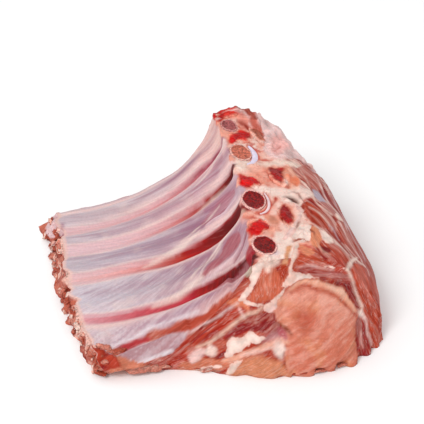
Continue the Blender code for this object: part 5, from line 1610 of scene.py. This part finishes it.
def make_crescents():
    """Joint cartilage round the second and third head."""
    for number, *crescent in CRESCENTS:
        line, halves, angles = crescent_path(number, *crescent)
        section = np.linspace(0, 2 * np.pi, CRESCENT_SIDES, endpoint=False)
        rings = []
        for (middle_x, middle_y), half, angle in zip(line, halves, angles):
            px = middle_x + math.cos(angle) * half * np.cos(section)
            py = middle_y + math.sin(angle) * half * np.cos(section)
            high = np.where(np.sin(section) > 0, CRESCENT_PROUD, CRESCENT_DEEP) * np.sin(section)
            rings.append(np.stack([px, py, facet_height(px, py) + high], -1))
        obj, points = add_tube(f"cartilage_visual_{number}", np.array(rings))
        rough = noise3(points, 0.005, CRESCENT_SEED + number, 2)
        tone = np.array(CARTILAGE_TONES[number]) + 0.06 * rough[:, None]
        set_layer(obj.data, "tone", deepened(tone), np.zeros(len(points)))
        node = f"cartilage_{number}"
        add_piece(obj, bone_material(node, 0.0, 0.25, 0.06, 0.12), node)


def blob(centre, radii, turn, seed):
    """One torn scrap: a flattened, uneven ball."""
    lat = np.linspace(0, np.pi, SCRAP_RINGS + 2)[1:-1]
    lon = np.linspace(0, 2 * np.pi, SCRAP_SIDES, endpoint=False)
    rings = np.stack([
        np.outer(np.sin(lat), np.cos(lon)),
        np.outer(np.sin(lat), np.sin(lon)),
        np.outer(np.cos(lat), np.ones_like(lon)),
    ], -1)
    points, faces = tube(rings[::-1])
    points[-2:] = ((0, 0, -1), (0, 0, 1))
    points = points * (1 + 0.7 * noise3(points, 0.7, seed, 3)[:, None]) * radii
    c, s = math.cos(turn), math.sin(turn)
    points = points @ np.array([[c, s, 0], [-s, c, 0], [0, 0, 1]]) + centre
    points[:, 2] = np.maximum(points[:, 2], ON_GROUND)
    return points, faces


def scrap_places():
    """Middle, half sizes, turn and tone of every scrap: at the tips, the foot and the corner."""
    draw = np.random.default_rng(7)
    spots = []
    places = np.linspace(0.0, 0.97, TIP_SCRAPS) + draw.uniform(-0.012, 0.012, TIP_SCRAPS)
    for t in places:
        w = draw.uniform(0.05, 0.80)
        radii = np.array(TIP_SCRAP) * draw.uniform(0.3, 1.0)
        centre = plain(0.0, t, w) + np.array([0.0005 - 0.0022 * draw.random(), 0, 0])
        spots.append((centre, radii, draw.uniform(-0.7, 0.7), draw.choice(4, p=TIP_SCRAP_SHARES)))
    for x in np.linspace(-0.150, 0.100, FOOT_SCRAPS):
        radii = np.array(FOOT_SCRAP) * draw.uniform(0.3, 0.8)
        centre = np.array([x, along(across_share(x), FOOT_Y) + 0.002, 0.002 + 0.002 * draw.random()])
        spots.append((centre, radii, draw.uniform(-0.4, 0.4), draw.integers(0, 3)))
    spots += PILE
    for _ in range(CORNER_SCRAPS):
        t, w = draw.uniform(0.0, 0.13), draw.uniform(0.75, 1.0)
        centre = plain(draw.uniform(0.0, 0.045), t, w) + np.array([0, 0, 0.001])
        radii = np.array(CORNER_SCRAP) * draw.uniform(0.4, 1.0)
        spots.append((centre, radii, draw.uniform(-0.9, 0.9), draw.choice(4, p=CORNER_SCRAP_SHARES)))
    return spots


def make_scraps():
    """Torn scraps of meat and fat along the rib tips and the foot of the front cut, as one piece."""
    all_points, all_faces, tones = [], [], []
    count = 0
    for number, (centre, radii, turn, kind) in enumerate(scrap_places()):
        points, faces = blob(centre, radii, turn, SCRAP_SEED + number)
        all_points.append(points)
        all_faces += [[i + count for i in face] for face in faces]
        rough = noise3(points, 0.005, SCRAP_TONE_SEED + number, 2)
        other = SCRAP_TONES[(kind + 1) % len(SCRAP_TONES)]
        tones.append(mixed(np.array(SCRAP_TONES[kind]), other, smooth(rough)))
        count += len(points)
    obj = add_mesh("scraps", centred(np.concatenate(all_points)), all_faces)
    set_layer(obj.data, "tone", deepened(np.concatenate(tones)), np.zeros(count))
    add_piece(obj, bone_material("scraps", 0.0, 0.4), None)


# ---- surroundings ----
def make_floor():
    corners = [(x * FLOOR_HALF, y * FLOOR_HALF, 0) for x, y in ((-1, -1), (1, -1), (1, 1), (-1, 1))]
    floor = add_mesh("floor", corners, [(0, 1, 2, 3)])
    g = Graph("floor")
    g.give(Base_Color=(*FLOOR_TONE, 1), Roughness=0.8, Specular_IOR_Level=SHINE)
    floor.data.materials.append(g.material)


def make_camera():
    a, e = math.radians(CAMERA_AZIMUTH), math.radians(CAMERA_ELEVATION)
    back = Vector((math.sin(a) * math.cos(e), -math.cos(a) * math.cos(e), math.sin(e)))
    data = bpy.data.cameras.new("camera")
    data.lens, data.sensor_width = CAMERA_LENS, 36
    camera = add_object("camera", data)
    camera.location = Vector(centred(CAMERA_TARGET).tolist()) + back * CAMERA_DISTANCE
    camera.rotation_euler = (-back).to_track_quat("-Z", "Y").to_euler()
    bpy.context.scene.camera = camera


def make_light(name, place, size, power):
    data = bpy.data.lights.new(name, "AREA")
    data.shape, data.size, data.energy = "DISK", size, power
    light = add_object(name, data)
    light.location = place
    light.rotation_euler = (Vector(KEY_TARGET) - Vector(place)).to_track_quat("-Z", "Y").to_euler()


def make_world():
    world = bpy.data.worlds.new("world")
    world.use_nodes = True
    background = world.node_tree.nodes["Background"]
    background.inputs["Color"].default_value = (1, 1, 1, 1)
    background.inputs["Strength"].default_value = WORLD_LIGHT
    bpy.context.scene.world = world
    bpy.context.scene.view_settings.view_transform = "Standard"


make_camera()
make_world()
make_floor()
make_light("key", KEY_PLACE, KEY_SIZE, KEY_POWER)
make_flesh()
make_ribs()
make_stumps()
make_crescents()
make_scraps()

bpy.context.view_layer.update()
